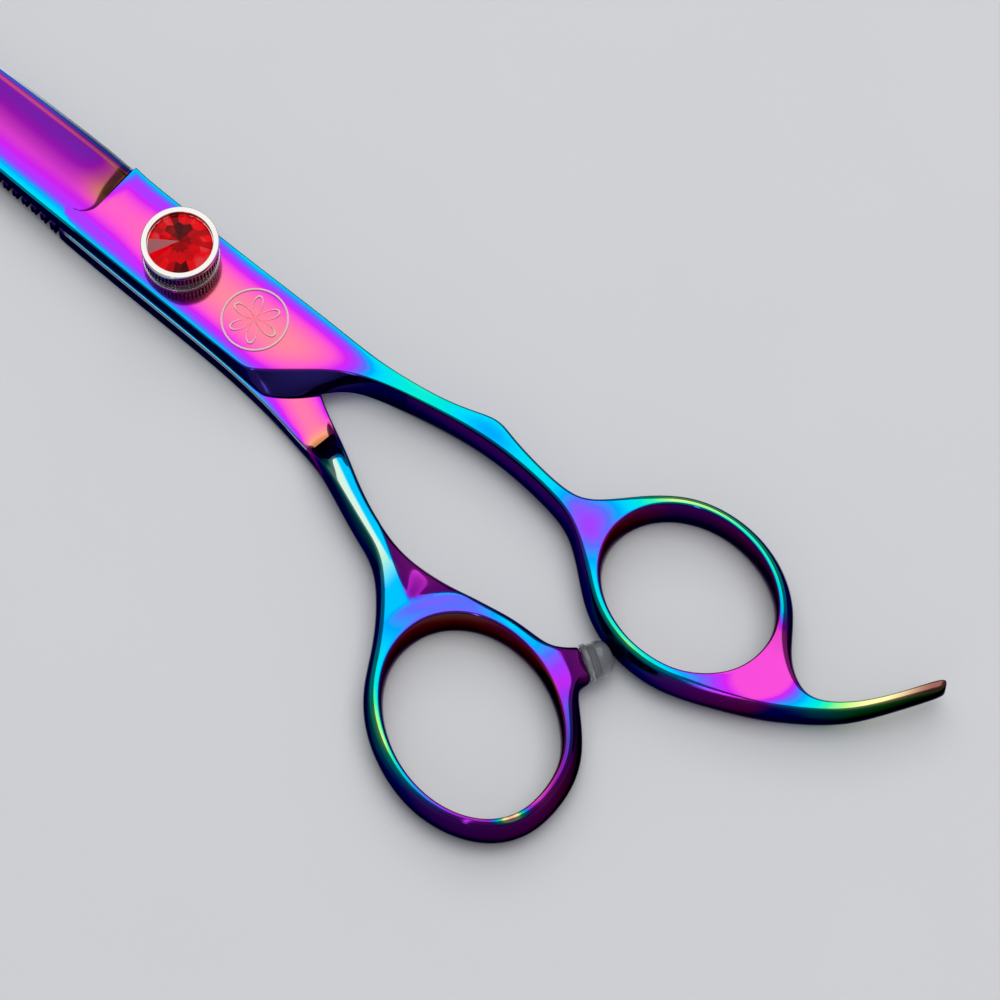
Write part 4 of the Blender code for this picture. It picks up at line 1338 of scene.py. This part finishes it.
class SHEARS_OT_tension(bpy.types.Operator):
    """Build the wave spring and finish the click plate"""

    bl_idname = "shears.tension"
    bl_label = "Tension spring and plate"

    def execute(self, context):
        spring_steel = bright_metal("spring_steel", shade(168, 168, 172), 0.22)
        bm = bmesh.new()
        spring = piece("wave_spring_wire", bm)
        middle = (SPRING_LOW[2] + SPRING_HIGH[2]) / 2
        wave_recipe().apply(spring, Radius=3.2 * MM, Width=1.0 * MM, Thickness=0.15 * MM, Rise=0.27 * MM,
                            Middle=middle, Finish=spring_steel)
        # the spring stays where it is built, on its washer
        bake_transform(spring)
        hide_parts("wave_spring")
        dress(PACKED["click_plate"], bright_metal("plate_steel", context.scene.shear_finish.steel, 0.2, 0.3))
        return {"FINISHED"}


class SHEARS_OT_knob(bpy.types.Operator):
    """Build the ribbed tension knob with its polished rim"""

    bl_idname = "shears.knob"
    bl_label = "Tension knob"

    def execute(self, context):
        sizes = context.scene.shear_sizes
        chrome = bright_metal("knob_chrome", shade(212, 208, 203), 0.07, 0.06, KNOB_HIGH[0] - 0.2 * MM)
        rim = KNOB_HIGH[0] / MM
        low = KNOB_LOW[2] / MM
        high = KNOB_HIGH[2] / MM
        band = rim - 0.4
        stone = STONE_HIGH[0] / MM + 0.07
        corners = [(0, 9.35, 0), (2.05, 9.35, 0), (2.05, 7.93, 0), (4.0, 7.93, 0), (4.0, low, 0.4),
                   (band, low, 1), (band, low + 0.25, 0), (band, high - 0.95, 0), (rim, high - 0.85, 1),
                   (rim, high, 1), (stone, high, 0.7), (stone, 9.88, 0), (1.5, 9.56, 0), (0, 9.56, 0)]
        knob = turned("knob_ribbed", rounded(corners, 0.12), chrome)
        tall = (high - 0.95) - (low + 0.22)
        knurl_recipe().apply(knob, Ribs=sizes.ribs, Radius=(band + 0.12) * MM, **{
            "Rib Radius": sizes.rib, "Height": tall * MM, "Middle": (low + 0.22 + tall / 2) * MM,
            "Finish": chrome})
        stands_for(knob, "knob_assembly", "chromed_brass", "knob")
        return {"FINISHED"}


class SHEARS_OT_stone(bpy.types.Operator):
    """Cut the faceted stone and fold the foil cup behind it"""

    bl_idname = "shears.stone"
    bl_label = "Stone and foil"

    def execute(self, context):
        count = context.scene.shear_sizes.facets
        radius = STONE_HIGH[0] / MM
        bm = bmesh.new()
        self.cone(bm, count, radius, 10.06, STONE_HIGH[2] / MM, 0.0)
        self.cone(bm, count, radius, 9.98, STONE_LOW[2] / MM, 0.5)
        bmesh.ops.bridge_loops(bm, edges=[e for e in bm.edges if e.is_boundary])
        stone = piece("crystal_cut", bm, stone_glass(), 1.0)
        self.glints(stone, radius)
        stands_for(stone, "knob_assembly", "red_crystal", "crystal")

        low = 9.59
        wall = 0.06
        cup = [(0, low), (1.5, low), (radius, 9.9), (radius, 9.95), (1.5, low + wall), (0, low + wall)]
        cupped = turned("crystal_foil_cup", cup, foil(), 96)
        stands_for(cupped, "knob_assembly", "silver_foil", "crystal_foil")
        return {"FINISHED"}

    @staticmethod
    def cone(bm, count, radius, base, apex, offset):
        """Pointed side of the stone: long kites from the apex, each cut into the patches it mirrors."""
        step = 2 * math.pi / count

        def spot(reach, angle, height):
            return bm.verts.new((reach * math.cos(angle) * MM, reach * math.sin(angle) * MM, height * MM))

        def on_kite(share, angle, off):
            reach = radius * share
            return spot(reach, angle, base + (apex - base) * (1 - share * math.cos(off)))

        peak = spot(0, 0, apex)
        inner = []
        middle = []
        rim = []
        for i in range(2 * count):
            a = (i / 2 + offset) * step
            off = 0 if i % 2 == 0 else step / 2
            inner.append(on_kite(0.3 if i % 2 else 0.38, a, off))
            middle.append(on_kite(0.72 if i % 2 else 0.62, a, off))
            rim.append(spot(radius, a, base))
        for i in range(2 * count):
            j = (i + 1) % (2 * count)
            bm.faces.new((peak, inner[i], inner[j]))
            bm.faces.new((inner[i], middle[i], middle[j], inner[j]))
            bm.faces.new((middle[i], rim[i], rim[j], middle[j]))

    @staticmethod
    def glints(stone, radius):
        """Paints each patch with its own share of the light that the foil sends back: painted reflections,
        the brightest pinkish grey.
        """
        draw = np.random.default_rng(11)
        mesh = stone.data
        middles = np.array([p.center[:2] for p in mesh.polygons]) / (radius * MM)
        out = np.hypot(*middles.T)
        turn = np.arctan2(*middles.T) / (2 * math.pi) % 1.0
        broad = draw.choice((0.5, 0.62, 0.72), 12)
        narrow = draw.choice((0.5, 0.64, 0.76, 0.84), 24)
        broad[[1, 2, 9, 10, 11]] = (0.5, 0.66, 0.34, 0.03, 0.16)
        broad[7] = narrow[14] = narrow[15] = 1.0
        narrow[[8, 9, 20]] = (0.05, 0.2, 0.35)
        inner = broad[(turn * 12).astype(int) % 12]
        levels = np.where(out < 0.6, inner, narrow[(turn * 24).astype(int) % 24])
        levels = np.where((out < 0.25) & (levels < 0.9), levels * 0.7, levels)
        layer = mesh.attributes.new("glint", "FLOAT", "FACE")
        layer.data.foreach_set("value", levels.astype(np.float32))


class SHEARS_OT_stop(bpy.types.Operator):
    """Build the clear rubber stop in the thumb ring's boss"""

    bl_idname = "shears.stop"
    bl_label = "Rubber stop"

    def execute(self, context):
        root = -STOP_HOLE_DEPTH + 0.1
        profile = [(0, root), (1.0, root), (1.2, root + 0.2)]
        for i in range(9):
            z = root + 0.3 + i * 0.3
            profile += [(1.2, z), (1.05, z + 0.15)]
        profile += [(1.2, 0.1), (1.2, 0.12), (2.2, 0.12), (2.36, 0.2), (2.4, 0.35), (2.4, 0.75)]
        for i in range(3):
            z = 0.85 + i * 0.34
            profile += [(2.12, z + 0.02), (2.08, z + 0.08), (2.24, z + 0.18), (2.26, z + 0.24)]
        for i in range(9):
            a = math.pi / 2 * i / 8
            profile.append((2.26 * math.cos(a) ** 0.75 if i < 8 else 0, 2.1 + 1.56 * math.sin(a)))
        stop = turned("bumper_stop", profile, silicone(), 72, 50.0)
        aimed(stop, BOSS_END, BOSS_DIR)
        stands_for(stop, "back_assembly", "clear_silicone", "bumper")
        return {"FINISHED"}


AZIMUTH = math.radians(41.0)
ELEVATION = math.radians(68.0)
DISTANCE = 2 / 3
LENS = 200.0
AIM = Vector((50.4133, 1.31332, 6.4)) * MM


def toward(azimuth, elevation):
    """Unit vector from the shears towards a viewer at those angles."""
    flat = math.cos(elevation)
    return Vector((math.sin(azimuth) * flat, -math.cos(azimuth) * flat, math.sin(elevation)))


def lamp(name, power, width, height, azimuth, elevation, distance, glossy=True):
    data = bpy.data.lights.new(name, "AREA")
    data.shape = "RECTANGLE"
    data.size = width
    data.size_y = height
    data.energy = power
    obj = bpy.data.objects.new(name, data)
    direction = toward(math.radians(azimuth), math.radians(elevation))
    obj.location = AIM + direction * distance
    obj.rotation_euler = direction.to_track_quat("Z", "Y").to_euler()
    obj.visible_glossy = glossy
    bpy.context.scene.collection.objects.link(obj)


class SHEARS_OT_stage(bpy.types.Operator):
    """Lay the floor and set the camera and the lights"""

    bl_idname = "shears.stage"
    bl_label = "Stage"

    def execute(self, context):
        look = context.scene.shear_finish
        self.floor(look)
        camera = bpy.data.cameras.new("camera")
        camera.lens = LENS
        camera.sensor_width = 36.0
        camera.clip_end = 20.0
        view = bpy.data.objects.new("camera", camera)
        back = toward(AZIMUTH, ELEVATION)
        view.location = AIM + back * DISTANCE
        view.rotation_euler = back.to_track_quat("Z", "Y").to_euler()
        context.scene.collection.objects.link(view)
        context.scene.camera = view
        lamp("softbox", look.key_light, 1.2, 1.4, 221.0, 64.0, 1.2)
        lamp("fill", look.key_light * 2.2, 1.4, 1.4, 120.0, 80.0, 1.8, glossy=False)
        lamp("strip", 0.7, 0.06, 1.2, 20.0, 24.0, 1.1)
        world = bpy.data.worlds.new("studio")
        world.use_nodes = True
        background = world.node_tree.nodes["Background"]
        background.inputs["Color"].default_value = (0.62, 0.64, 0.68, 1.0)
        background.inputs["Strength"].default_value = 0.35
        context.scene.world = world
        context.scene.view_settings.view_transform = "Standard"
        return {"FINISHED"}

    @staticmethod
    def floor(look):
        bm = bmesh.new()
        bmesh.ops.create_circle(bm, cap_ends=True, radius=3.0, segments=96)
        finish = Finish("floor_paint")
        cloud = finish.noise(40.0, 3.0)
        tint = finish.mix(cloud * 0.3, (*look.floor, 1.0), (*(c * 0.94 for c in look.floor), 1.0))
        finish.wear(Base_Color=tint, Roughness=0.6 + cloud * 0.1)
        floor = piece("floor", bm, finish.material)
        floor.location.z = CAD_BOX[0][2] - 0.02 * MM


class SHEARS_PT_panel(bpy.types.Panel):
    bl_idname = "SHEARS_PT_panel"
    bl_label = "Thinning shears"
    bl_space_type = "VIEW_3D"
    bl_region_type = "UI"
    bl_category = "Shears"

    def draw(self, context):
        layout = self.layout
        for group in (context.scene.shear_sizes, context.scene.shear_finish):
            for name in group.__annotations__:
                layout.prop(group, name)
        for operator in OPERATORS:
            layout.operator(operator.bl_idname)


OPERATORS = (
    SHEARS_OT_front_half, SHEARS_OT_back_half, SHEARS_OT_pivot, SHEARS_OT_tension, SHEARS_OT_knob,
    SHEARS_OT_stone, SHEARS_OT_stop, SHEARS_OT_stage,
)
CLASSES = (ShearSizes, ShearFinish, *OPERATORS, SHEARS_PT_panel)


def register():
    for cls in CLASSES:
        bpy.utils.register_class(cls)
    bpy.types.Scene.shear_sizes = PointerProperty(type=ShearSizes)
    bpy.types.Scene.shear_finish = PointerProperty(type=ShearFinish)


def unregister():
    del bpy.types.Scene.shear_finish
    del bpy.types.Scene.shear_sizes
    for cls in reversed(CLASSES):
        bpy.utils.unregister_class(cls)


def main():
    register()
    for operator in OPERATORS:
        group, name = operator.bl_idname.split(".")
        getattr(getattr(bpy.ops, group), name)()


if __name__ == "__main__":
    main()
